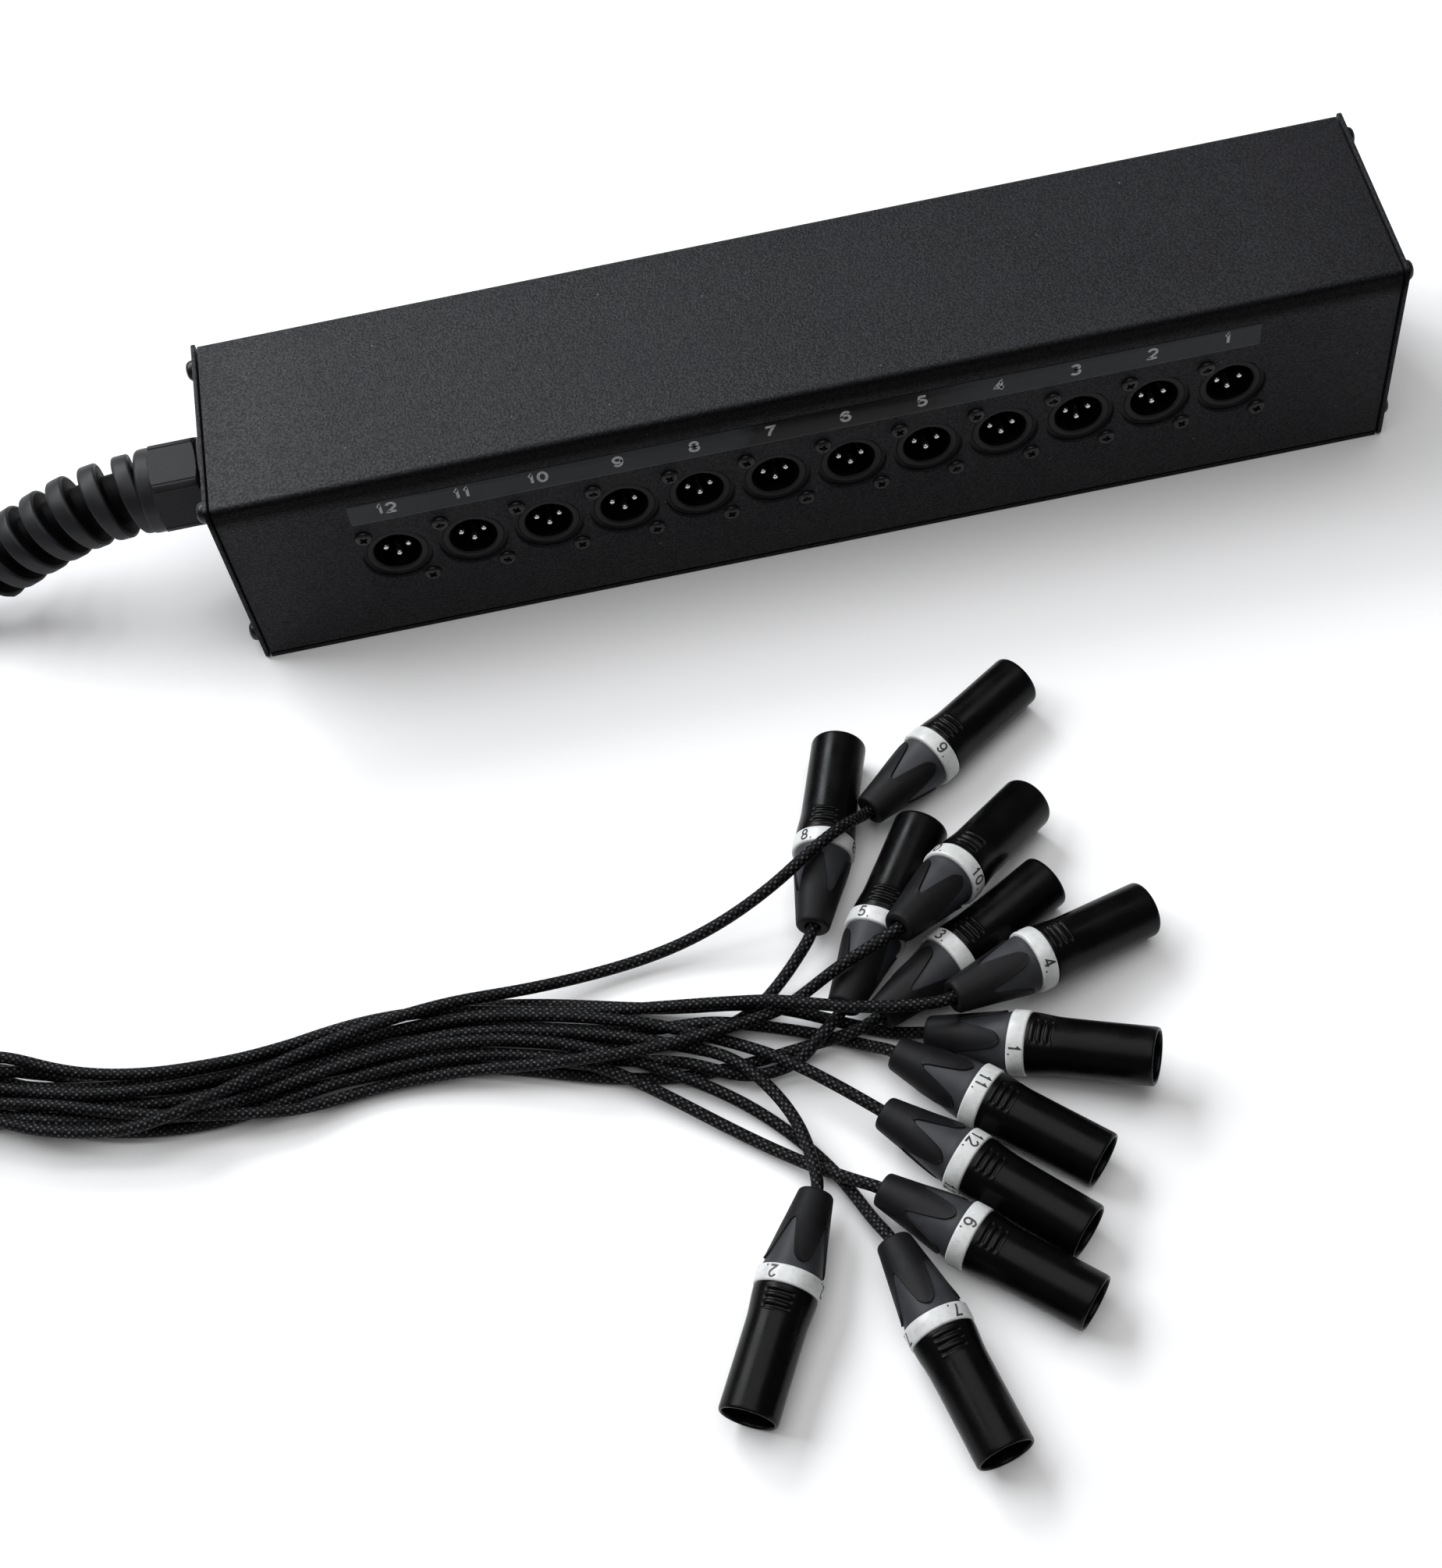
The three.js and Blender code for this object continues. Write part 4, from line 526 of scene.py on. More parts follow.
class Mat:
    """A procedural material and short calls to add its nodes."""

    def __init__(self, name, base=(0.5, 0.5, 0.5), rough=0.5, metallic=0.0, spec=0.5, ior=1.5, **sockets):
        self.m = bpy.data.materials.new(name)
        self.m.use_nodes = True
        self.t = self.m.node_tree
        self.bsdf = self.t.nodes["Principled BSDF"]
        self.set("Base Color", (*base, 1.0))
        self.set("Roughness", rough)
        self.set("Metallic", metallic)
        self.set("Specular IOR Level", spec)
        self.set("IOR", ior)
        for k, v in sockets.items():
            self.set(k.replace("_", " "), v)

    def set(self, socket, value):
        self.bsdf.inputs[socket].default_value = value

    def link(self, a, b):
        self.t.links.new(a, b)

    def node(self, kind, **values):
        n = self.t.nodes.new(kind)
        for k, v in values.items():
            setattr(n, k, v)
        return n

    def put(self, socket, value):
        if hasattr(value, "is_linked") or isinstance(value, bpy.types.NodeSocket):
            self.link(value, socket)
        elif value is not None:
            socket.default_value = value

    def coords(self, scale=1000.0, kind="Object"):
        """The piece's own coordinates in millimetres."""
        tc = self.node("ShaderNodeTexCoord") if kind != "Position" else self.node("ShaderNodeNewGeometry")
        s = self.node("ShaderNodeVectorMath", operation="SCALE")
        self.link(tc.outputs[kind], s.inputs[0])
        s.inputs["Scale"].default_value = scale
        return s.outputs[0]

    def noise(self, vec, scale, detail=3.0, rough=0.55, distort=0.0):
        n = self.node("ShaderNodeTexNoise")
        self.put(n.inputs["Vector"], vec)
        n.inputs["Scale"].default_value = scale
        n.inputs["Detail"].default_value = detail
        n.inputs["Roughness"].default_value = rough
        n.inputs["Distortion"].default_value = distort
        return n.outputs["Fac"]

    def cells(self, vec, scale, feature="F1", out="Distance", jitter=1.0):
        n = self.node("ShaderNodeTexVoronoi", feature=feature)
        self.put(n.inputs["Vector"], vec)
        n.inputs["Scale"].default_value = scale
        n.inputs["Randomness"].default_value = jitter
        return n.outputs[out]

    def math(self, op, a, b=None, c=None, clamp=False):
        n = self.node("ShaderNodeMath", operation=op, use_clamp=clamp)
        for i, x in enumerate((a, b, c)):
            if x is not None:
                self.put(n.inputs[i], x)
        return n.outputs[0]

    def split(self, vec):
        n = self.node("ShaderNodeSeparateXYZ")
        self.put(n.inputs[0], vec)
        return n.outputs

    def join(self, x, y, z):
        n = self.node("ShaderNodeCombineXYZ")
        for i, v in enumerate((x, y, z)):
            self.put(n.inputs[i], v)
        return n.outputs[0]

    def ramp(self, fac, stops, mode="LINEAR"):
        n = self.node("ShaderNodeValToRGB")
        n.color_ramp.interpolation = mode
        e = n.color_ramp.elements
        while len(e) < len(stops):
            e.new(0.5)
        for el, (pos, col) in zip(e, stops):
            el.position = pos
            el.color = (*col, 1.0) if len(col) == 3 else col
        self.put(n.inputs[0], fac)
        return n.outputs[0]

    def range(self, v, a, b, c, d, kind="LINEAR"):
        n = self.node("ShaderNodeMapRange", interpolation_type=kind)
        self.put(n.inputs[0], v)
        for i, x in enumerate((a, b, c, d)):
            n.inputs[1 + i].default_value = x
        return n.outputs[0]

    def mix(self, fac, a, b):
        n = self.node("ShaderNodeMix", data_type="RGBA")
        self.put(n.inputs[0], fac)
        self.put(n.inputs[6], (*a, 1.0) if isinstance(a, tuple) else a)
        self.put(n.inputs[7], (*b, 1.0) if isinstance(b, tuple) else b)
        return n.outputs[2]

    def colour(self, out):
        self.link(out, self.bsdf.inputs["Base Color"])

    def rough(self, out):
        self.link(out, self.bsdf.inputs["Roughness"])

    def bump(self, height, strength, distance, normal=None):
        n = self.node("ShaderNodeBump")
        n.inputs["Strength"].default_value = strength
        n.inputs["Distance"].default_value = distance * MM
        self.link(height, n.inputs["Height"])
        if normal is not None:
            self.link(normal, n.inputs["Normal"])
        self.link(n.outputs[0], self.bsdf.inputs["Normal"])
        return n.outputs[0]


def coat_material(name, base, specks, spec=0.25, rough=0.5):
    """Fine textured powder coat with a few pale grains of dust, and painted shade darkening the front face and the bend
    above it.
    """
    m = Mat(name, base, rough, spec=spec)
    p = m.coords()
    broad = m.noise(p, 0.018, 4.0, 0.6)
    fine = m.noise(p, 1.9, 2.0, 0.6)
    a = tuple(x * 0.86 for x in base)
    b = tuple(x * 1.22 for x in base)
    col = m.mix(m.range(broad, 0.35, 0.65, 0.0, 1.0), a, b)
    col = m.mix(m.range(fine, 0.30, 0.72, 0.0, 0.45), col, tuple(x * 1.7 for x in base))
    peel = m.noise(p, 1.25, 2.0, 0.6)
    col = m.mix(m.range(peel, 0.38, 0.64, 0.0, 0.7), col, tuple(x * 2.3 for x in base))
    # dust
    d = m.cells(p, 0.20)
    keep = m.noise(p, 0.083, 2.0, 0.5)
    dot = m.math("MULTIPLY", m.range(d, 0.040, 0.070, 1.0, 0.0), m.range(keep, 0.575, 0.605, 0.0, specks))
    col = m.mix(dot, col, (0.30, 0.30, 0.30))
    xyz = m.split(p)
    # painted shade over the top bend and the upper front: darker colour and a lower specular level
    bend_shade = m.math("MULTIPLY", m.range(xyz[1], -38.6, -36.8, 1.0, 0.0), m.range(xyz[2], 68.5, 73.0, 0.0, 1.0))
    col = m.mix(m.math("MULTIPLY", bend_shade, 0.7), col, tuple(x * 0.1 for x in base))
    # painted shade over the whole front face: darker colour and a lower specular level
    front = m.range(xyz[1], -38.9, -38.2, 1.0, 0.0)
    col = m.mix(m.math("MULTIPLY", front, 0.25), col, tuple(x * 0.1 for x in base))
    grain = m.range(peel, 0.36, 0.66, spec * 0.55, spec * 1.5)
    level = m.math("MULTIPLY", grain, m.range(bend_shade, 0.0, 1.0, 1.0, 0.25))
    m.put(m.bsdf.inputs["Specular IOR Level"], m.math("MULTIPLY", level, m.range(front, 0.0, 1.0, 1.0, 0.62)))
    m.colour(col)
    r = m.math("ADD", m.range(broad, 0.3, 0.7, rough - 0.04, rough + 0.05), m.range(fine, 0.3, 0.7, -0.05, 0.06))
    m.rough(r)
    n = m.bump(peel, 0.9, 0.34)
    m.bump(fine, 0.6, 0.10, n)
    return m.m


def plastic_material(name, base, rough, grain=2.4, depth=0.02, spec=0.4, wear=0.0, **kw):
    m = Mat(name, base, rough, spec=spec, **kw)
    p = m.coords()
    broad = m.noise(p, 0.12, 3.0, 0.55)
    fine = m.noise(p, grain, 2.0, 0.55)
    col = m.mix(m.range(broad, 0.35, 0.65, 0.0, 1.0), tuple(x * 0.85 for x in base), tuple(x * 1.2 for x in base))
    if wear:
        scuff = m.noise(p, 0.55, 6.0, 0.72, 0.6)
        col = m.mix(m.range(scuff, 0.60, 0.72, 0.0, wear), col, tuple(min(1.0, x * 3 + 0.02) for x in base))
    m.colour(col)
    m.rough(m.math("ADD", m.range(broad, 0.3, 0.7, rough - 0.05, rough + 0.05), m.range(fine, 0.3, 0.7, -0.04, 0.04)))
    m.bump(fine, 0.5, depth)
    return m.m


def jacket_material():
    """Soft trunk jacket: satin, with faint draw lines along it and a little chalky handling haze."""
    base = (0.0075, 0.0077, 0.0085)
    m = Mat("cable_jacket", base, 0.48, spec=0.25)
    at = m.node("ShaderNodeAttribute", attribute_name="route")
    xyz = m.split(at.outputs["Vector"])
    ring = m.join(m.math("COSINE", m.math("MULTIPLY", xyz[0], TAU)), m.math("SINE", m.math("MULTIPLY", xyz[0], TAU)), m.math("MULTIPLY", xyz[1], 0.004))
    line = m.noise(ring, 7.0, 3.0, 0.6)
    p = m.coords()
    haze = m.noise(p, 0.05, 5.0, 0.62)
    fine = m.noise(p, 2.2, 2.0, 0.55)
    col = m.mix(m.range(haze, 0.42, 0.66, 0.0, 1.0), base, (0.014, 0.014, 0.015))
    m.colour(col)
    m.rough(m.math("ADD", m.range(haze, 0.35, 0.65, 0.42, 0.56), m.range(line, 0.3, 0.7, -0.04, 0.04)))
    n = m.bump(line, 0.25, 0.10)
    m.bump(fine, 0.35, 0.03, n)
    return m.m


def braid_material():
    """Braided sleeve: two families of yarns wound opposite ways, over and under by turns, with pale glints painted on
    as highlights.
    """
    m = Mat("braided_sleeve", (0.006, 0.006, 0.0068), 0.5, spec=0.09)
    at = m.node("ShaderNodeAttribute", attribute_name="route")
    xyz = m.split(at.outputs["Vector"])
    around = m.math("MULTIPLY", xyz[0], 6.0)
    down = m.math("MULTIPLY", xyz[1], 1 / 2.3)
    u = m.math("ADD", around, down)
    v = m.math("SUBTRACT", around, down)
    fu, fv = m.math("FRACT", m.math("ADD", u, 100.0)), m.math("FRACT", m.math("ADD", v, 400.0))
    iu, iv = m.math("FLOOR", m.math("ADD", u, 100.0)), m.math("FLOOR", m.math("ADD", v, 400.0))
    over = m.math("MODULO", m.math("ADD", iu, iv), 2.0)
    # across each yarn: 0 at its edges and 1 at its middle
    cu = m.math("SUBTRACT", 1.0, m.math("ABSOLUTE", m.math("SUBTRACT", m.math("MULTIPLY", fu, 2.0), 1.0)))
    cv = m.math("SUBTRACT", 1.0, m.math("ABSOLUTE", m.math("SUBTRACT", m.math("MULTIPLY", fv, 2.0), 1.0)))
    n = m.node("ShaderNodeMix", data_type="FLOAT")
    m.put(n.inputs[0], over)
    m.put(n.inputs[2], cu)
    m.put(n.inputs[3], cv)
    across = n.outputs[0]
    n2 = m.node("ShaderNodeMix", data_type="FLOAT")
    m.put(n2.inputs[0], over)
    m.put(n2.inputs[2], cv)
    m.put(n2.inputs[3], cu)
    along_yarn = n2.outputs[0]
    dome = m.math("POWER", across, 0.6)
    height = m.math("MULTIPLY", dome, m.math("ADD", m.math("MULTIPLY", along_yarn, 0.6), 0.4))
    w = m.node("ShaderNodeTexWhiteNoise", noise_dimensions="2D")
    m.put(w.inputs["Vector"], m.join(iu, iv, 0.0))
    # painted highlights: pale flecks on the crests of some yarn cells, put in the base colour
    painted_glint = m.math("MULTIPLY", m.range(w.outputs["Value"], 0.15, 0.90, 0.15, 1.0), m.range(height, 0.52, 0.85, 0.0, 1.0))
    col = m.mix(m.range(height, 0.15, 0.85, 0.0, 1.0), (0.0008, 0.0008, 0.0009), (0.0042, 0.0042, 0.0048))
    col = m.mix(painted_glint, col, (0.085, 0.087, 0.095))
    m.colour(col)
    m.rough(m.range(height, 0.1, 0.9, 0.62, 0.42))
    m.bump(height, 0.9, 0.22)
    return m.m


def webbing_material():
    base = (0.013, 0.013, 0.014)
    m = Mat("strap_webbing", base, 0.8, spec=0.25)
    m.set("Sheen Weight", 0.25)
    at = m.node("ShaderNodeAttribute", attribute_name="route")
    xyz = m.split(at.outputs["Vector"])
    a = m.math("SINE", m.math("MULTIPLY", xyz[0], TAU / 1.1))
    b = m.math("SINE", m.math("MULTIPLY", xyz[1], TAU / 1.6))
    h = m.math("MULTIPLY", a, b)
    fuzz = m.noise(m.coords(), 3.0, 3.0, 0.7)
    m.colour(m.mix(m.range(h, -1.0, 1.0, 0.0, 1.0), (0.007, 0.007, 0.008), (0.026, 0.026, 0.028)))
    m.rough(m.range(fuzz, 0.3, 0.7, 0.72, 0.9))
    n = m.bump(h, 0.7, 0.2)
    m.bump(fuzz, 0.4, 0.05, n)
    return m.m


def label_material():
    """Numbered tape: satin grey, with a stretch where the gloss face is dark and uneven."""
    m = Mat("label_tape", (0.02, 0.021, 0.024), 0.42, spec=0.14)
    p = m.coords()
    xyz = m.split(p)
    wob = m.noise(p, 0.16, 3.0, 0.6)
    x = m.math("ADD", xyz[0], m.math("MULTIPLY", wob, 26.0))
    dark = m.math("MULTIPLY", m.range(x, -14.0, -5.0, 0.0, 1.0), m.range(x, 52.0, 72.0, 1.0, 0.0))
    broad = m.noise(p, 0.03, 4.0, 0.6)
    col = m.mix(m.range(broad, 0.35, 0.65, 0.0, 1.0), (0.0172, 0.0186, 0.0212), (0.0235, 0.0252, 0.0285))
    col = m.mix(dark, col, (0.0018, 0.0018, 0.002))
    edge = m.range(xyz[2], 59.1, 59.6, 1.0, 0.0)
    col = m.mix(m.math("MULTIPLY", edge, 0.5), col, (0.06, 0.063, 0.068))
    m.colour(col)
    m.rough(m.math("SUBTRACT", m.range(broad, 0.3, 0.7, 0.36, 0.50), m.math("MULTIPLY", dark, 0.14)))
    fine = m.noise(p, 0.8, 3.0, 0.6)
    m.bump(fine, 0.35, 0.05)
    return m.m


def ink_material(name, ink, wear):
    m = Mat(name, ink, 0.45, spec=0.35)
    p = m.coords()
    n = m.noise(p, 1.6, 4.0, 0.65)
    m.colour(m.mix(m.range(n, 0.45, 0.68, 0.0, 1.0), ink, wear))
    m.rough(m.range(n, 0.3, 0.7, 0.38, 0.55))
    m.bump(n, 0.25, 0.02)
    return m.m


def ring_material():
    base = (0.60, 0.61, 0.61)
    m = Mat("coding_ring", base, 0.30, spec=0.5)
    p = m.coords(kind="Position")
    broad = m.noise(p, 0.16, 3.0, 0.55)
    grime = m.noise(p, 0.55, 6.0, 0.7, 0.4)
    col = m.mix(m.range(broad, 0.35, 0.65, 0.0, 1.0), (0.50, 0.505, 0.50), base)
    col = m.mix(m.range(grime, 0.50, 0.70, 0.0, 0.45), col, (0.33, 0.33, 0.325))
    m.colour(col)
    m.rough(m.range(grime, 0.3, 0.7, 0.24, 0.42))
    m.bump(m.noise(p, 0.9, 2.0, 0.5), 0.3, 0.05)
    return m.m


def metal_material():
    base = (0.80, 0.80, 0.78)
    m = Mat("contact_metal", base, 0.22, metallic=1.0)
    p = m.coords()
    n = m.noise(p, 1.4, 5.0, 0.65)
    m.colour(m.mix(m.range(n, 0.4, 0.68, 0.0, 1.0), base, (0.60, 0.585, 0.55)))
    m.rough(m.range(n, 0.3, 0.7, 0.16, 0.34))
    m.bump(m.noise(p, 3.0, 2.0, 0.5), 0.15, 0.01)
    return m.m


def loom_material():
    """Bundled wires: stripes along the bundle, in muted insulation colours."""
    m = Mat("loom_wire", (0.16, 0.165, 0.175), 0.42, spec=0.45)
    p = m.coords()
    xyz = m.split(p)
    flat = m.join(m.math("MULTIPLY", xyz[0], 0.02), xyz[1], xyz[2])
    c = m.cells(flat, 0.62, out="Color", jitter=0.7)
    g = m.node("ShaderNodeRGBToBW")
    m.put(g.inputs[0], c)
    m.colour(m.ramp(g.outputs[0], [(0.2, (0.03, 0.03, 0.03)), (0.4, (0.16, 0.165, 0.175)), (0.6, (0.10, 0.03, 0.025)), (0.8, (0.30, 0.30, 0.29))]))
    d = m.cells(flat, 0.62, feature="DISTANCE_TO_EDGE", jitter=0.7)
    m.bump(m.range(d, 0.0, 0.35, 0.0, 1.0), 0.6, 0.6)
    m.rough(m.range(m.noise(p, 0.4), 0.3, 0.7, 0.36, 0.5))
    return m.m


POWDER = coat_material("powder_coat", (0.0084, 0.0086, 0.0100), 0.5, spec=0.15, rough=0.46)
COVER = coat_material("cover_coat", (0.0070, 0.0070, 0.0080), 0.3, spec=0.13, rough=0.46)
SCREW = plastic_material("black_screw", (0.0045, 0.0045, 0.005), 0.34, 3.2, 0.012, spec=0.28, wear=0.25)
MOULDING = plastic_material("connector_moulding", (0.0095, 0.0095, 0.0105), 0.5, 3.4, 0.02, spec=0.16)
# near-black material for the bore: painted shade inside the connector's recess
BORE_SHADE = plastic_material("connector_bore_shade", (0.0010, 0.0010, 0.0011), 0.6, 3.4, 0.02, spec=0.04)
LABEL = label_material()
NUMERAL = ink_material("label_ink", (0.33, 0.335, 0.34), (0.20, 0.205, 0.21))
GLAND = plastic_material("gland_plastic", (0.0105, 0.0108, 0.0124), 0.42, 1.8, 0.02, spec=0.22)
RUBBER = plastic_material("protector_rubber", (0.0105, 0.0108, 0.0124), 0.48, 2.2, 0.02, spec=0.22)
# near-black material for the guard's gap bottoms: painted shade in the grooves
GAP_SHADE = plastic_material("protector_gap_shade", (0.0016, 0.0016, 0.0018), 0.6, 2.2, 0.02, spec=0.05)
JACKET = jacket_material()
STRAP = webbing_material()
BRAID = braid_material()
SHELL = plastic_material("plug_shell", (0.0012, 0.0012, 0.0014), 0.29, 2.6, 0.014, spec=0.11, wear=0.06)
RING = ring_material()
RING_INK = ink_material("ring_ink", (0.022, 0.022, 0.024), (0.09, 0.09, 0.09))
BOOT_GREY = plastic_material("boot_grey", (0.026, 0.027, 0.031), 0.5, 3.0, 0.02, spec=0.22)
BOOT_BLACK = plastic_material("boot_black", (0.0045, 0.0046, 0.0053), 0.56, 3.0, 0.025, spec=0.16)
METAL = metal_material()
LOOM = loom_material()

# ---------------------------------------------------------------- trunk cord and its coil


def trunk_points():
    cx, cy = COIL_CENTRE
    d = 16.4
    floor_end = 5.5
    last = 10.70808
    turns = np.linspace(0, last, 1280)
    th = math.radians(75) + TAU * turns
    r = np.where(turns < floor_end, 186 - d * turns, 95.8 + d * (turns - floor_end))
    r = r + (202.8 - (95.8 + d * (last - floor_end))) * smooth(turns, 10.02, last)
    z = np.full(len(turns), 9.7)
    for i, t in enumerate(turns):
        if t <= floor_end:
            continue
        f = t % 1.0
        below = [186 - d * (f + k) for k in range(6) if f + k <= min(floor_end, t - 0.5)]
        gap = min(abs(r[i] - b) for b in below)
        if gap < d:
            z[i] = 9.7 + math.sqrt(d * d - gap * gap)
    # ease the climb and the way down
    k = np.exp(-0.5 * (np.arange(-18, 19) / 5.0) ** 2)
    k /= k.sum()
    zs = np.convolve(np.r_[np.full(18, z[0]), z, np.full(18, z[-1])], k, mode="valid")
    lift = np.maximum(0, z - zs)
    zs = zs + lift * 0.55
    zs[: 18] = z[: 18]
    coil = np.stack([cx + r * np.cos(th), cy + r * np.sin(th), zs], 1)[::5]
    head = np.array(TRUNK_OUT)
    tail = np.array(TRUNK_IN)
    keep = np.linalg.norm(coil - tail[0], axis=1) > 14
    keep[: len(coil) // 2] = True
    keep[0] = np.linalg.norm(coil[0] - head[-1]) > 6
    return np.vstack([head, coil[keep], tail])


trunk_path = spline(trunk_points(), 4.6)
first = int(np.argmax(trunk_path[:, 0] < -203.0))
trunk_path = trunk_path[first:]
trunk_length = float(along(trunk_path)[-1])
trunk = piece("trunk_cable", tube_mesh("trunk_cable", trunk_path, 8.0, 22), JACKET,
              ["trunk_cable_box_end", "trunk_coil", "trunk_cable_fan_end"])


def make_breakout():
    """Moulded sleeve with a rolled lip, a soft waist and a potted mouth that the tails come out of."""
    prof = [(-3.2, 0.0), (-3.2, 7.2), (-3.0, 9.2), (-2.0, 9.55), (-0.6, 9.75), (-0.1, 10.0), (0.0, 10.3), (0.12, 10.62), (0.5, 10.9), (1.3, 11.15), (2.2, 11.3),
            (3.0, 11.25), (3.5, 11.05), (4.2, 11.15), (6.0, 11.5), (9.0, 11.72), (12.0, 11.8), (16.0, 11.6), (19.5, 11.28), (20.2, 10.95), (20.8, 10.82), (21.6, 10.82), (22.2, 10.95), (23.0, 11.1),
            (26.0, 10.75), (27.0, 10.42), (28.0, 10.4), (29.0, 10.5), (31.0, 10.25), (32.0, 9.95), (33.0, 9.92), (34.0, 10.05), (36.5, 9.9), (37.4, 9.62), (38.4, 9.6), (39.4, 9.75), (42.6, 9.7), (43.5, 9.55),
            (43.95, 9.2), (44.0, 8.8), (43.7, 8.45), (43.0, 8.3), (38.0, 8.28), (32.0, 8.25)]
    bag = Bag()
    bag.add(*turn(lathe(prof, 56, cap0=False, cap1=True), axis_to((-1, 0, 0), (BREAK_X, BREAK_Y, BREAK_Z))))
    return piece("breakout_sleeve", bag.mesh("breakout_sleeve"), RUBBER, ["fanout_breakout"])


breakout = make_breakout()


def hull(points):
    """Convex outline of points in a plane, anticlockwise from its leftmost point."""
    pts = sorted(set(map(tuple, np.round(points, 4).tolist())))

    def half(seq):
        out = []
        for p in seq:
            while len(out) > 1 and (out[-1][0] - out[-2][0]) * (p[1] - out[-2][1]) <= (out[-1][1] - out[-2][1]) * (p[0] - out[-2][0]):
                out.pop()
            out.append(p)
        return out[:-1]

    return np.array(half(pts) + half(pts[::-1]))


def make_strap(name, degrees, node):
    """Webbing pulled tight round the turns that pass under it, with its free end lapped over the top."""
    th = math.radians(degrees)
    cx, cy = COIL_CENTRE
    e = np.array([math.cos(th), math.sin(th), 0.0])
    w = np.array([-math.sin(th), math.cos(th), 0.0])
    rel = trunk_path - np.array([cx, cy, 0.0])
    turns = []
    for off in (-7.0, 0.0, 7.0):
        a, r = rel @ w - off, rel @ e
        for i in np.flatnonzero((a[:-1] * a[1:] < 0) & (r[:-1] > 0) & (r[:-1] < 200)):
            t = a[i] / (a[i] - a[i + 1])
            turns.append((r[i] + (r[i + 1] - r[i]) * t, rel[i, 2] + (rel[i + 1, 2] - rel[i, 2]) * t))
    reach = 8.76
    loop = hull(np.array([(r + reach * math.cos(k), z + reach * math.sin(k)) for r, z in turns for k in np.linspace(0, TAU, 60, endpoint=False)]))
    loop = np.vstack([loop, loop[:1]])
    s0 = along(np.c_[loop, np.zeros(len(loop))])
    at_s = np.linspace(0, s0[-1], int(s0[-1] / 1.4) + 1)[:-1]
    dense = np.stack([np.interp(at_s, s0, loop[:, 0]), np.interp(at_s, s0, loop[:, 1])], 1)
    dense = (np.roll(dense, 1, 0) + 2 * dense + np.roll(dense, -1, 0)) / 4
    r1, z1 = dense[:, 0].max(), dense[:, 1].max()
    bag = Bag()
    t = np.roll(dense, -1, 0) - np.roll(dense, 1, 0)
    t /= np.linalg.norm(t, axis=1)[:, None]
    nrm = np.stack([t[:, 1], -t[:, 0]], 1)
    half, thick = 7.0, 0.62
    sect = [(-half, 0.0), (-half + 0.35, thick), (-half + 1.2, thick * 0.86), (0, thick * 0.92), (half - 1.2, thick * 0.86), (half - 0.35, thick), (half, 0.0), (half - 0.35, -thick), (0, -thick), (-half + 0.35, -thick)]

    def sweep(line, normals, close, lift=0.0, taper=None):
        rows = []
        for i, (p, n) in enumerate(zip(line, normals)):
            k = 1.0 if taper is None else taper[i]
            row = []
            for y, h in sect:
                rr = p + n * (h + lift)
                row.append(np.array([cx, cy, 0.0]) + e * rr[0] + w * (y * k) + np.array([0, 0, rr[1]]))
            rows.append(row)
        if close:
            rows.append(rows[0])
        return np.array(rows)

    rows = sweep(dense, nrm, True)
    rows[:, :, 2] = np.maximum(rows[:, :, 2], 0.02)
    bag.add(*grid(rows, True))
    # the lapped end, over the top and down the outer side
    i0 = int(np.argmin(np.linalg.norm(dense - np.array([r1, 16.0]), axis=1)))
    i1 = int(np.argmin(np.linalg.norm(dense - np.array([118.0, z1]), axis=1)))
    part = dense[i0:i1 + 1]
    pn = nrm[i0:i1 + 1]
    s = along(np.c_[part, np.zeros(len(part))])
    taper = 1 - 0.28 * smooth(s, s[-1] - 9, s[-1]) - 0.06 * (1 - smooth(s, 0, 5))
    lap = sweep(part, pn, False, 1.3, taper)
    bag.add(*grid(lap, True, True, True))
    me = bag.mesh(name, sharp=50)
    obj = piece(name, me, STRAP, [node])
    # weave coordinates: across and along
    at = me.attributes.new("route", "FLOAT_VECTOR", "CORNER")
    co = np.array([v.co for v in me.vertices]) * 1000
    rel = co - np.array([cx, cy, 0])
    across = rel @ w
    rad, zz = rel @ e, co[:, 2]
    key = np.array([int(np.argmin((dense[:, 0] - x) ** 2 + (dense[:, 1] - y) ** 2)) for x, y in zip(rad, zz)])
    run = along(np.c_[dense, np.zeros(len(dense))])[key]
    idx = np.zeros(len(me.loops), int)
    me.loops.foreach_get("vertex_index", idx)
    at.data.foreach_set("vector", np.stack([across[idx], run[idx], np.zeros(len(idx))], 1).astype(np.float32).ravel())
    return obj


strap_1 = make_strap("coil_strap_a", 146, "coil_strap_1")
strap_2 = make_strap("coil_strap_b", 345, "coil_strap_2")

# ---------------------------------------------------------------- plugs


def boot_line(s):
    return 5.4 + (9.8 - 5.4) * s / 26.8


def boot_core_mesh():
    prof = [(2.0, 2.6), (2.0, 4.2)] + [(s, boot_line(s) - 0.5) for s in np.linspace(3.0, 25.6, 12)] + [(26.4, boot_line(26.4) - 0.42), (27.0, boot_line(27) - 0.55), (27.2, 8.6), (27.2, 7.0), (27.2, 0.0)]
    bag = Bag()
    bag.add(*lathe(prof, 64))
    return bag.mesh("boot_core")


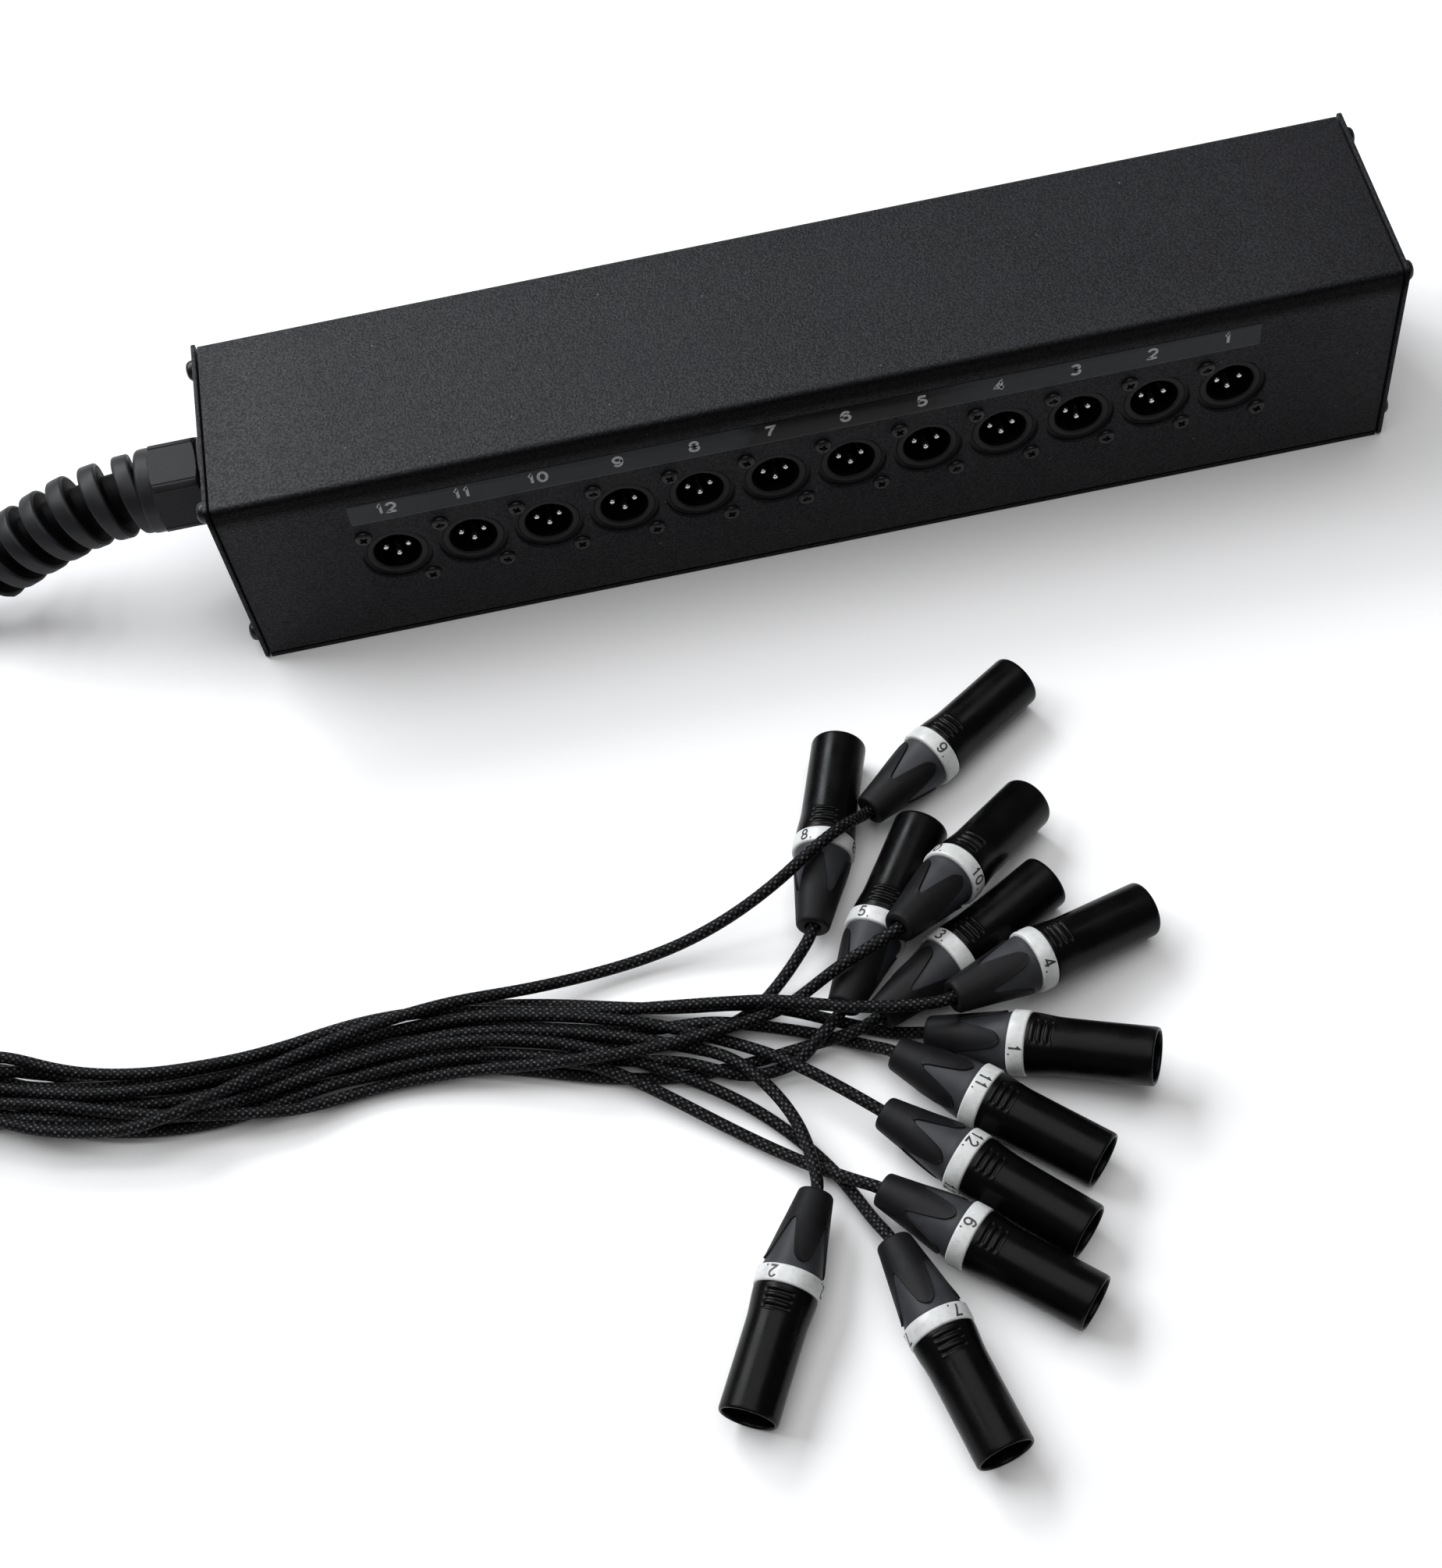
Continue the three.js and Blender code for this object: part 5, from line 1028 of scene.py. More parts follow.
def boot_cover_mesh():
    """Black overmould: a plain cone end that runs out into four long round-tipped tongues."""
    bag = Bag()
    split_s, tip = 10.8, 24.9
    rows = np.r_[np.linspace(0.9, split_s, 10), split_s + (tip - split_s) * np.sin(np.linspace(0, math.pi / 2, 42)[1:])]
    cols = 17
    for q in range(4):
        out = []
        for s in rows:
            t = np.clip((s - split_s) / (tip - split_s), 0, 1)
            w = 1 - 0.09 * math.sqrt(min(1.0, t / 0.10)) - 0.60 * t
            if t > 0.80:
                w *= math.sqrt(max(0.0, 1 - ((t - 0.80) / 0.20) ** 2))
            w *= math.pi / 4
            r = boot_line(s)
            b = float(smooth(s, split_s, split_s + 0.9))
            row = []
            half = w * r
            for j in range(cols):
                u = -1 + 2 * j / (cols - 1)
                # columns gather at the edges, at fixed distances from them
                k = abs(u)
                steps = {16: (0.0, -0.62), 15: (0.10, -0.16), 14: (0.32, 0.13), 13: (0.72, 0.10), 12: (1.25, 0.02)}
                m = j if j >= 8 else 16 - j
                if m >= 12:
                    inset, h = steps[m]
                else:
                    inset, h = None, 0.0
                if inset is None:
                    x = max(0.0, half - 1.25 * b - (1 - b) * 0.5) * ((m - 8) / 4.0)
                else:
                    x = max(0.0, half - inset * b - (1 - b) * (16 - m) * 0.125)
                x = x if j >= 8 else -x
                edge = h * b
                # close to the tip the whole width is edge
                near = min(1.0, half / 1.25) if b > 0 else 1.0
                if inset is None and b > 0 and near < 1:
                    edge = -0.62 * (1 - near) ** 2
                rr = r + edge
                ang = math.pi / 2 * q + x / r
                row.append((s, rr * math.cos(ang), rr * math.sin(ang)))
            out.append(row)
        v, f = grid(out, False)
        bag.add(v, f)
    # rounded cable end with the hole for the tail
    ring = [(0.9, boot_line(0.9)), (0.42, 5.32), (0.12, 5.05), (0.0, 4.6), (0.02, 3.6), (0.1, 3.0), (0.35, 2.66), (0.9, 2.5), (4.0, 2.42)]
    segs = 64
    # the same angles as the tongues' first row, so that the two meet
    v0 = np.array(bag.v[0]).reshape(len(rows), cols, 3)[0]
    angs = []
    for q in range(4):
        a = np.arctan2(v0[:, 2], v0[:, 1]) + math.pi / 2 * q
        angs += list(a[:-1])
    angs = np.array(angs)
    rings = [np.stack([np.full(len(angs), s), r * np.cos(angs), r * np.sin(angs)], 1) for s, r in ring]
    bag.add(*grid(rings, True))
    return bag.mesh("boot_cover", weld=0.004, sharp=60, outward=True)


def ring_mesh():
    prof = [(27.15, 8.0), (27.15, 9.6), (27.25, 9.95), (27.5, 10.2), (27.85, 10.3), (30.0, 10.33), (32.15, 10.3), (32.5, 10.2), (32.75, 9.95), (32.85, 9.6), (32.85, 8.0)]
    bag = Bag()
    bag.add(*lathe(prof, 80, loop=True))
    return bag.mesh("coding_ring_body")


def shell_mesh():
    """Shell with a flared foot, three short finger ribs on two sides, and a rounded mouth."""
    s_fine = np.arange(33.9, 43.01, 0.22)
    outer = [(32.7, 8.6), (32.75, 9.5), (32.95, 9.78), (33.3, 9.86)] + [(s, 9.1 + 0.74 * (1 - smooth(s, 33.2, 44.5)) ** 1.25) for s in s_fine] + [(46.0, 9.1), (52.0, 9.08), (58.0, 9.08), (64.0, 9.1), (70.6, 9.1)]
    mouth = [(71.2, 9.07), (71.6, 8.96), (71.88, 8.78), (72.0, 8.55), (71.98, 8.3), (71.8, 8.08), (71.4, 7.93), (70.8, 7.9), (62.0, 7.9), (54.0, 7.9), (53.4, 7.9), (53.4, 8.6)]

    def rr(s, r, ang):
        out = np.full(len(ang), float(r))
        if 34.0 < s < 43.0:
            prof = 0.0
            for c in (35.6, 37.9, 40.2):
                d = abs(s - c)
                prof -= 0.42 * (1 - smooth(d, 0.25, 0.62)) - 0.16 * (1 - smooth(abs(d - 0.95), 0.0, 0.42))
            side = np.minimum(np.abs((ang - math.pi / 2 + math.pi) % TAU - math.pi), np.abs((ang + math.pi / 2 + math.pi) % TAU - math.pi))
            out = out + prof * (1 - smooth(side, math.radians(21), math.radians(27)))
        return out

    bag = Bag()
    v, f = lathe(outer + mouth, 120, loop=True, radius=rr)
    bag.add(v, f)
    return bag.mesh("plug_shell_body", sharp=48)


def insert_mesh():
    """Black insert face with raised pads round the pins and the key slot."""
    bag = Bag()
    prof = [(50.0, 0.0), (50.0, 7.85), (53.6, 7.85), (54.0, 7.6), (54.05, 6.9), (53.6, 6.6), (53.55, 0.0)]
    bag.add(*lathe(prof, 48))
    for y, z in ((4, 0), (-4, 0), (0, -4)):
        bag.add(*turn(lathe([(53.0, 0.0), (53.0, 2.2), (54.0, 2.1), (54.2, 1.9), (54.2, 0.0)], 24), Matrix.Translation((0, y, z))))
    key = [(53.0, 1.1), (60.5, 1.1), (60.9, 0.9), (61.0, 0.6), (61.0, 0.0)]
    bag.add(*turn(lathe([(53.0, 0.0)] + key, 20), Matrix.Translation((0, 0, 7.0))))
    return bag.mesh("plug_insert_body")


def pin_mesh():
    bag = Bag()
    for y, z in ((4, 0), (-4, 0), (0, -4)):
        prof = [(52.5, 0.0), (52.5, 1.2), (64.6, 1.2), (65.3, 1.12), (65.75, 0.88), (65.95, 0.5), (66.0, 0.0)]
        bag.add(*turn(lathe(prof, 24), Matrix.Translation((0, y, z))))
    return bag.mesh("plug_pins_body")


def wrap_digits(body, s_mid, radius, angle):
    """Digits bent round the ring, reading round it, with their tops toward the shell."""
    v, f = digits(body, 4.2, 2.7, 0.62, 0.75, 0.16)
    ang = angle + v[:, 0] / radius
    r = radius + v[:, 2] - 0.03
    return np.stack([s_mid + v[:, 1], r * np.cos(ang), r * np.sin(ang)], 1), f


CORE_MESH, COVER_MESH, RING_MESH, SHELL_MESH = boot_core_mesh(), boot_cover_mesh(), ring_mesh(), shell_mesh()
INSERT_MESH, PIN_MESH = insert_mesh(), pin_mesh()
# roll of each boot and of the digits on its ring, in degrees; 90 is up
BOOT_ROLL = {1: 27, 2: -20, 3: 68, 4: 15, 5: 30, 6: -2, 7: 2, 8: -8, 9: 46, 10: 40, 11: 65, 12: 44}
DIGIT_AT = {1: 132, 2: 116, 3: 68, 4: 136, 5: 68, 6: 93, 7: 58, 8: 60, 9: 122, 10: 152, 11: 89, 12: 73}


def plug_matrix(n):
    x, y, z, heading, tilt = PLUGS[n]
    m = Matrix.Translation((x * MM, y * MM, z * MM)) @ Matrix.Rotation(heading, 4, "Z") @ Matrix.Rotation(-tilt, 4, "Y")
    return m @ Matrix.Translation((-PLUG_LENGTH / 2 * MM, 0, 0))


def make_plug(n):
    m = plug_matrix(n)
    roll = Matrix.Rotation(math.radians(BOOT_ROLL[n]), 4, "X")
    made = [piece(f"plug_{n:02d}_shell", SHELL_MESH, None, [f"plug_{n:02d}"], m)]
    made.append(piece(f"plug_{n:02d}_boot_core", CORE_MESH, None, (), m))
    made.append(piece(f"plug_{n:02d}_boot_cover", COVER_MESH, None, (), m @ roll))
    made.append(piece(f"plug_{n:02d}_coding_ring", RING_MESH, None, (), m))
    made.append(piece(f"plug_{n:02d}_insert", INSERT_MESH, None, (), m))
    made.append(piece(f"plug_{n:02d}_pins", PIN_MESH, None, (), m))
    bag = Bag()
    for k in range(3):
        bag.add(*wrap_digits(f"{n}.", 30.0, 10.33, math.radians(DIGIT_AT[n] + 110 * (k - 1))), shade=False)
    me = bag.mesh(f"ring_digits_{n:02d}", weld=0, sharp=30, outward=False)
    made.append(piece(f"plug_{n:02d}_digits", me, RING_INK, (), m))
    return made


for mesh, mat in ((CORE_MESH, BOOT_GREY), (COVER_MESH, BOOT_BLACK), (RING_MESH, RING), (SHELL_MESH, SHELL), (INSERT_MESH, MOULDING), (PIN_MESH, METAL)):
    mesh.materials.append(mat)
plug_pieces = {n: make_plug(n) for n in PLUGS}

# ---------------------------------------------------------------- tails


def tail_path(n):
    p = np.array(TAILS[n], float)
    x, y, z, heading, tilt = PLUGS[n]
    d = np.array([math.cos(heading) * math.cos(tilt), math.sin(heading) * math.cos(tilt), math.sin(tilt)])
    back = np.array([x, y, z]) - d * PLUG_LENGTH / 2
    mouth = p[0] + np.array([-4.6, 0, 0])
    return spline(np.vstack([mouth, p, back + d * 3.4]), 1.5)


for n in TAILS:
    path = tail_path(n)
    me = tube_mesh(f"tail_{n:02d}_sleeve", path, 1.96, 14)
    piece(f"tail_{n:02d}_sleeve", me, BRAID, [f"tail_{n:02d}"])
    tuple((np.array(path[0]) * MM).tolist())
    float(along(path)[-1]) * MM

# ---------------------------------------------------------------- box


def cell_ring(x0, x1, z0, z1, cx, cz, n=64):
    """Angles of n even steps and the four corners, and where each ray meets the rectangle."""
    corners = [math.atan2(z - cz, x - cx) % TAU for x, z in ((x0, z0), (x1, z0), (x1, z1), (x0, z1))]
    ang = sorted(set([round(TAU * i / n, 9) for i in range(n)] + [round(a, 9) for a in corners]))
    # drop even steps that fall close to a corner
    kept = [a for a in ang if a in [round(c, 9) for c in corners] or min(abs((a - c + math.pi) % TAU - math.pi) for c in corners) > 0.03]
    rect = []
    for a in kept:
        c, s = math.cos(a), math.sin(a)
        k = min(((x1 - cx) / c if c > 1e-9 else (x0 - cx) / c if c < -1e-9 else 1e9), ((z1 - cz) / s if s > 1e-9 else (z0 - cz) / s if s < -1e-9 else 1e9))
        rect.append((cx + c * k, cz + s * k))
    return np.array(kept), np.array(rect)


def shell_sheet():
    """The folded sheet's outer face: back, top, front with its twelve cut-outs."""
    bag = Bag()
    z0, z1 = 2.2, 78.6 - 2.4
    y = -39.0
    top_x = set()
    for n in range(1, 13):
        cx = (6.5 - n) * PITCH
        ang, rect = cell_ring(cx - PITCH / 2, cx + PITCH / 2, z0, z1, cx, 40.0)
        inner = np.stack([cx + 12 * np.cos(ang), np.full(len(ang), y), 40 + 12 * np.sin(ang)], 1)
        outer = np.stack([rect[:, 0], np.full(len(ang), y), rect[:, 1]], 1)
        bag.add(*grid([inner, outer], True))
        side = rect[np.abs(rect[:, 0] - (cx + PITCH / 2)) < 1e-6]
        for x, z in rect[np.abs(rect[:, 1] - z1) < 1e-6]:
            top_x.add(round(float(x), 4))
    zs = sorted(set(round(float(z), 6) for z in side[:, 1]))
    for xa, xb in ((-200.9, -159.0), (159.0, 200.9)):
        rows = [[(x, y, z) for z in zs] for x in (xa, xb)]
        bag.add(*grid(rows, False))
        top_x.add(xa)
        top_x.add(xb)
    xs = sorted(top_x)
    prof = [(y + 2.4 - 2.4 * math.cos(a), z1 + 2.4 * math.sin(a)) for a in np.linspace(0, math.pi / 2, 8)]
    prof += [(-20, 78.6), (0, 78.6), (20, 78.6)]
    prof += [(39 - 2.4 + 2.4 * math.sin(a), z1 + 2.4 * math.cos(a)) for a in np.linspace(0, math.pi / 2, 8)]
    prof += [(39, 50), (39, 25), (39, z0)]
    rows = [[(x, py, pz) for x in xs] for py, pz in prof]
    bag.add(*grid(rows, False))
    return bag.mesh("shell_sheet", weld=0.01, sharp=0, outward=False)


def facing_out(me, centre):
    """Turns the faces so that they look away from centre."""
    bm = bmesh.new()
    bm.from_mesh(me)
    bmesh.ops.recalc_face_normals(bm, faces=bm.faces)
    score = sum((f.calc_center_median() - Vector(centre)).dot(f.normal) * f.calc_area() for f in bm.faces)
    if score < 0:
        bmesh.ops.reverse_faces(bm, faces=bm.faces)
    bm.to_mesh(me)
    bm.free()
    return me


sheet = facing_out(shell_sheet(), (0, 0, 0.04))
case = piece("case_shell_sheet", bevelled("case_shell_sheet", sheet, 0.28, 2, 50.0, thickness=1.5), POWDER, ["case_shell"])


def end_plate(name, x_out, x_in, node, hole):
    """Flat end plate with rounded corners and soft edges; the left one has the gland's hole."""
    def outline(grow):
        pts = []
        hy, z0, z1, r = 39.5 - grow, grow, 79.0 - grow, 1.6
        for cy, cz, a0 in ((hy - r, z1 - r, 0), (-hy + r, z1 - r, math.pi / 2), (-hy + r, z0 + r, math.pi), (hy - r, z0 + r, 1.5 * math.pi)):
            for a in np.linspace(a0, a0 + math.pi / 2, 7):
                pts.append((cy + r * math.cos(a), cz + r * math.sin(a)))
        return pts

    cy, cz = (8.0, 45.0) if hole else (0.0, 39.5)
    pts = outline(0)
    # add points along the straight sides so that the rings to the hole stay even
    full = []
    for i, p in enumerate(pts):
        q = pts[(i + 1) % len(pts)]
        full.append(p)
        gap = math.hypot(q[0] - p[0], q[1] - p[1])
        for k in range(1, int(gap // 8)):
            t = k / int(gap // 8)
            full.append((p[0] + (q[0] - p[0]) * t, p[1] + (q[1] - p[1]) * t))
    full = np.array(full)
    ang = np.arctan2(full[:, 1] - cz, full[:, 0] - cy)
    rad = 12.6 if hole else 6.0
    inner = np.stack([cy + rad * np.cos(ang), cz + rad * np.sin(ang)], 1)

    def at(x, yz):
        return np.c_[np.full(len(yz), x), yz]

    bag = Bag()
    if hole:
        bag.add(*grid([at(x_in, inner), at(x_in, full), at(x_out, full), at(x_out, inner), at(x_in, inner)], True))
    else:
        bag.add(*grid([at(x_in, inner), at(x_in, full), at(x_out, full), at(x_out, inner)], True, True, True))
    me = bag.mesh(name, weld=0.003)
    return piece(name, bevelled(name, me, 0.3, 2, 50.0), POWDER, [node])


plate_l = end_plate("left_end_plate", -203.0, -201.5, "end_plate_left", True)
plate_r = end_plate("right_end_plate", 203.0, 201.5, "end_plate_right", False)


def screw_mesh(name, head_r, head_h, shank_r, shank_l, cross, depth):
    """Pan head screw with a cross recess. It stands along local X, its seat at 0."""
    dome = [(-shank_l, 0.0), (-shank_l, shank_r * 0.7), (-shank_l + 0.6, shank_r), (-0.02, shank_r), (0.0, head_r * 0.72), (0.02, head_r - 0.12), (0.12, head_r), (head_h * 0.30, head_r), (head_h * 0.52, head_r * 0.965),
            (head_h * 0.72, head_r * 0.88), (head_h * 0.86, head_r * 0.74), (head_h * 0.95, head_r * 0.54), (head_h * 0.99, head_r * 0.30), (head_h, 0.0)]
    bag = Bag()
    bag.add(*lathe(dome, 40))
    head = loose(name + "_head", bag.mesh(name + "_head"))
    w, l = cross * 0.19, cross * 0.5
    plus = [(w, w), (w, l), (-w, l), (-w, w), (-l, w), (-l, -w), (-w, -w), (-w, -l), (w, -l), (w, -w), (l, -w), (l, w)]
    top = [(head_h + 0.4, a * 1.06, b * 1.06) for a, b in plus]
    low = [(head_h - depth, a * 0.62, b * 0.62) for a, b in plus]
    cut = Bag()
    v = np.array(low + top)
    n = len(plus)
    faces = [[i, (i + 1) % n, n + (i + 1) % n, n + i] for i in range(n)] + [list(range(n))[::-1], list(range(n, 2 * n))]
    cut.add(v, faces)
    cutter = loose(name + "_cross", cut.mesh(name + "_cross", sharp=0))
    b = head.modifiers.new("cross", "BOOLEAN")
    b.operation, b.object, b.solver = "DIFFERENCE", cutter, "EXACT"
    me = baked(head)
    bpy.data.objects.remove(cutter)
    me.polygons.foreach_set("use_smooth", [True] * len(me.polygons))
    me.set_sharp_from_angle(angle=math.radians(32))
    me.materials.clear()
    me.materials.append(SCREW)
    return me


END_SCREW = screw_mesh("end_screw", 3.6, 3.5, 1.9, 6.5, 3.9, 1.9)
SMALL_SCREW = screw_mesh("panel_screw", 3.0, 1.5, 1.45, 7.0, 3.2, 1.2)
for side, sx in (("left", -1), ("right", 1)):
    for row, z in (("lower", 7.5), ("upper", 72.0)):
        for pos, yy in (("front", -32.0), ("rear", 33.5)):
            spin = {("left", "lower", "front"): 20, ("left", "upper", "front"): 64, ("right", "upper", "front"): 33, ("right", "lower", "rear"): 75}.get((side, row, pos), 48)
            m = Matrix.Translation((sx * 203.05 * MM, yy * MM, z * MM)) @ Matrix(axis_to((sx, 0, 0), (0, 0, 0)).tolist()) @ Matrix.Rotation(math.radians(spin), 4, "X")
            piece(f"{side}_{row}_{pos}_screw", END_SCREW, None, [f"end_screw_{side}_{row}_{pos}"], m)

# ---------------------------------------------------------------- panel connectors


def connector_mesh():
    """Recessed insert: face with a soft raised ring, bore with its key notch, flange plate and rear barrel."""
    segs = 120
    notch = math.radians(11)

    def rr(s, r, ang):
        out = np.full(len(ang), float(r))
        if r < 8.7 and s > -20.4:
            d = np.abs((ang - math.pi / 2 + math.pi) % TAU - math.pi)
            out = out + 1.05 * (1 - smooth(d, notch * 0.82, notch))
        return out

    # local X looks out of the panel (toward -Y of the box); 0 is the connector's face
    face = [(-0.0, 12.9), (0.0, 11.5), (-0.02, 11.35), (-0.30, 11.15), (-0.34, 11.0), (-0.30, 10.85), (0.0, 10.7), (0.16, 10.45), (0.22, 10.1), (0.22, 9.4), (0.16, 8.95), (-0.04, 8.6), (-0.35, 8.3), (-0.9, 8.08), (-1.6, 8.0), (-16.5, 8.0), (-16.6, 7.9)]
    floor = [(-16.7, 7.6), (-16.8, 7.2), (-16.8, 6.4), (-16.5, 6.1), (-16.4, 5.8), (-16.4, 0.0)]
    rear = [(0.0, 12.9), (-2.3, 12.9), (-2.3, 11.5), (-23.4, 11.5), (-23.8, 11.1), (-23.8, 0.0)]
    bag = Bag()
    ang = TAU * np.arange(segs) / segs
    rings = []
    for s, r in rear[::-1] + face[1:] + floor:
        q = rr(s, r, ang) if (s, r) in face else np.full(segs, float(r))
        rings.append(np.stack([np.full(segs, float(s)), q * np.cos(ang), q * np.sin(ang)], 1))
    bag.add(*grid(rings, True))
    # flange plate round it
    pts = []
    for cy, cz, a0 in ((11.5, 14.0, 0), (-11.5, 14.0, 90), (-11.5, -14.0, 180), (11.5, -14.0, 270)):
        for a in np.linspace(a0, a0 + 90, 6):
            pts.append((cy + 1.5 * math.cos(math.radians(a)), cz + 1.5 * math.sin(math.radians(a))))
    pts = np.array(pts)
    a2 = np.arctan2(pts[:, 1], pts[:, 0])
    hole = np.stack([12.3 * np.cos(a2), 12.3 * np.sin(a2)], 1)
    at = lambda x, q: np.c_[np.full(len(q), x), q]
    bag.add(*grid([at(-2.25, hole), at(-2.25, pts), at(-0.35, pts), at(-0.12, pts * 0.993), at(-0.12, hole), at(-2.25, hole)], True))
    for y, z in ((4, 0), (-4, 0), (0, -4)):
        bag.add(*turn(lathe([(-16.8, 0.0), (-16.8, 2.3), (-15.9, 2.2), (-15.7, 2.0), (-15.7, 0.0)], 24), Matrix.Translation((0, y, z))))
    me = bag.mesh("panel_insert_body")
    me.materials.append(MOULDING)
    me.materials.append(BORE_SHADE)
    # the bore's walls and floor take the near-black material: painted shade in the recess
    for poly in me.polygons:
        c = poly.center
        if math.hypot(c[1], c[2]) < 8.75 * MM and -17.0 * MM < c[0] < -0.30 * MM:
            poly.material_index = 1
    return me


def contact_mesh():
    """Three pins with rounded tips, and their solder cups behind."""
    bag = Bag()
    for y, z in ((4, 0), (-4, 0), (0, -4)):
        prof = [(-17.5, 0.0), (-17.5, 1.2), (-3.6, 1.2), (-2.95, 1.13), (-2.5, 0.92), (-2.25, 0.6), (-2.2, 0.0)]
        cup = [(-23.0, 0.0), (-23.0, 1.4), (-29.4, 1.4), (-29.7, 1.25), (-29.7, 1.0), (-26.0, 0.95), (-26.0, 0.0)]
        bag.add(*turn(lathe(prof, 28), Matrix.Translation((0, y, z))))
        bag.add(*turn(lathe(cup, 20), Matrix.Translation((0, y, z))))
    me = bag.mesh("panel_contacts_body")
    me.materials.append(METAL)
    return me


INSERT_BODY, CONTACTS = connector_mesh(), contact_mesh()
FACE_Y = -37.3
spins = [12, 70, 35, 52, 5, 81, 26, 60, 44, 18, 77, 38, 64, 9, 50, 30, 84, 22, 57, 41, 3, 68, 33, 47]
for n in range(1, 13):
    xc = (6.5 - n) * PITCH
    m = Matrix.Translation((xc * MM, FACE_Y * MM, 40 * MM)) @ Matrix(axis_to((0, -1, 0), (0, 0, 0)).tolist())
    piece(f"connector_{n:02d}_insert", INSERT_BODY, None, [f"panel_connector_{n:02d}"], m)
    piece(f"connector_{n:02d}_contacts", CONTACTS, None, (), m)
    for k, (dx, z) in enumerate(((-9.5, 52.0), (9.5, 28.0))):
        ms = Matrix.Translation(((xc + dx) * MM, -39.02 * MM, z * MM)) @ Matrix(axis_to((0, -1, 0), (0, 0, 0)).tolist()) @ Matrix.Rotation(math.radians(spins[2 * (n - 1) + k]), 4, "X")
        piece(f"connector_{n:02d}_screw_{'ab'[k]}", SMALL_SCREW, None, (), ms)

# ---------------------------------------------------------------- label strip


def make_label():
    x0, x1, z0, z1, r = -157.5, 154.0, 58.9, 68.4, 0.8
    pts = []
    for cx, cz, a0 in ((x1 - r, z1 - r, 0), (x0 + r, z1 - r, 90), (x0 + r, z0 + r, 180), (x1 - r, z0 + r, 270)):
        for a in np.linspace(a0, a0 + 90, 6):
            pts.append((cx + r * math.cos(math.radians(a)), cz + r * math.sin(math.radians(a))))
    pts = np.array(pts)
    mid = pts.mean(0)
    inner = mid + (pts - mid) * np.array([0.9993, 0.975])
    at = lambda y, q: np.stack([q[:, 0], np.full(len(q), y), q[:, 1]], 1)
    bag = Bag()
    bag.add(*grid([at(-38.9, pts), at(-39.16, pts), at(-39.22, inner)], True, True, True))
    me = bag.mesh("numbered_strip", sharp=30)
    return piece("numbered_strip", me, LABEL, ["label_strip"])


make_label()
NUMERAL_AT = {12: (-144.4, 64.7), 11: (-118.6, 64.6), 10: (-92.7, 64.6), 9: (-65.4, 64.5), 8: (-39.3, 64.4), 7: (-13.4, 64.4), 6: (12.4, 64.2), 5: (38.5, 64.2), 4: (64.8, 64.2), 3: (90.9, 64.3), 2: (117.1, 64.5), 1: (142.6, 64.7)}
bag = Bag()
for n, (x, z) in NUMERAL_AT.items():
    v, f = digits(str(n), 5.2, 3.9, 1.0, 0.5, 0.1)
    bag.add(np.stack([x + v[:, 0], -39.24 - v[:, 2], z + v[:, 1]], 1), f, shade=False)
piece("strip_numerals", bag.mesh("strip_numerals", weld=0, sharp=30, outward=False), NUMERAL)

# ---------------------------------------------------------------- gland


def hex_ring(s, ang, corner, chamfer, phase=0.0):
    inr = corner * math.cos(math.pi / 6)
    a = (ang + phase + math.pi / 6) % (math.pi / 3) - math.pi / 6
    return np.minimum(inr / np.cos(a), chamfer)


def hex_prism(s0, s1, corner, depth=1.1, segs=96, bore=None, phase=0.0):
    """Hexagon along local X with turned, chamfered ends. Rows are (s, limit radius)."""
    ang = TAU * np.arange(segs) / segs
    inr = corner * math.cos(math.pi / 6)
    rows = []
    ends = np.linspace(0, 1, 6)
    for t in ends:
        rows.append((s0 + depth * t, inr - 0.15 + (corner - inr + 0.15) * math.sin(t * math.pi / 2)))
    for t in ends[::-1]:
        rows.append((s1 - depth * t, inr - 0.15 + (corner - inr + 0.15) * math.sin(t * math.pi / 2)))
    rings = []
    for s, lim in rows:
        r = hex_ring(s, ang, corner, lim, phase)
        rings.append(np.stack([np.full(segs, s), r * np.cos(ang), r * np.sin(ang)], 1))
    inner = bore if bore else 4.0
    first_r = np.stack([np.full(segs, s0), inner * np.cos(ang), inner * np.sin(ang)], 1)
    last_r = np.stack([np.full(segs, s1), inner * np.cos(ang), inner * np.sin(ang)], 1)
    return grid([first_r] + rings + [last_r, first_r], True)


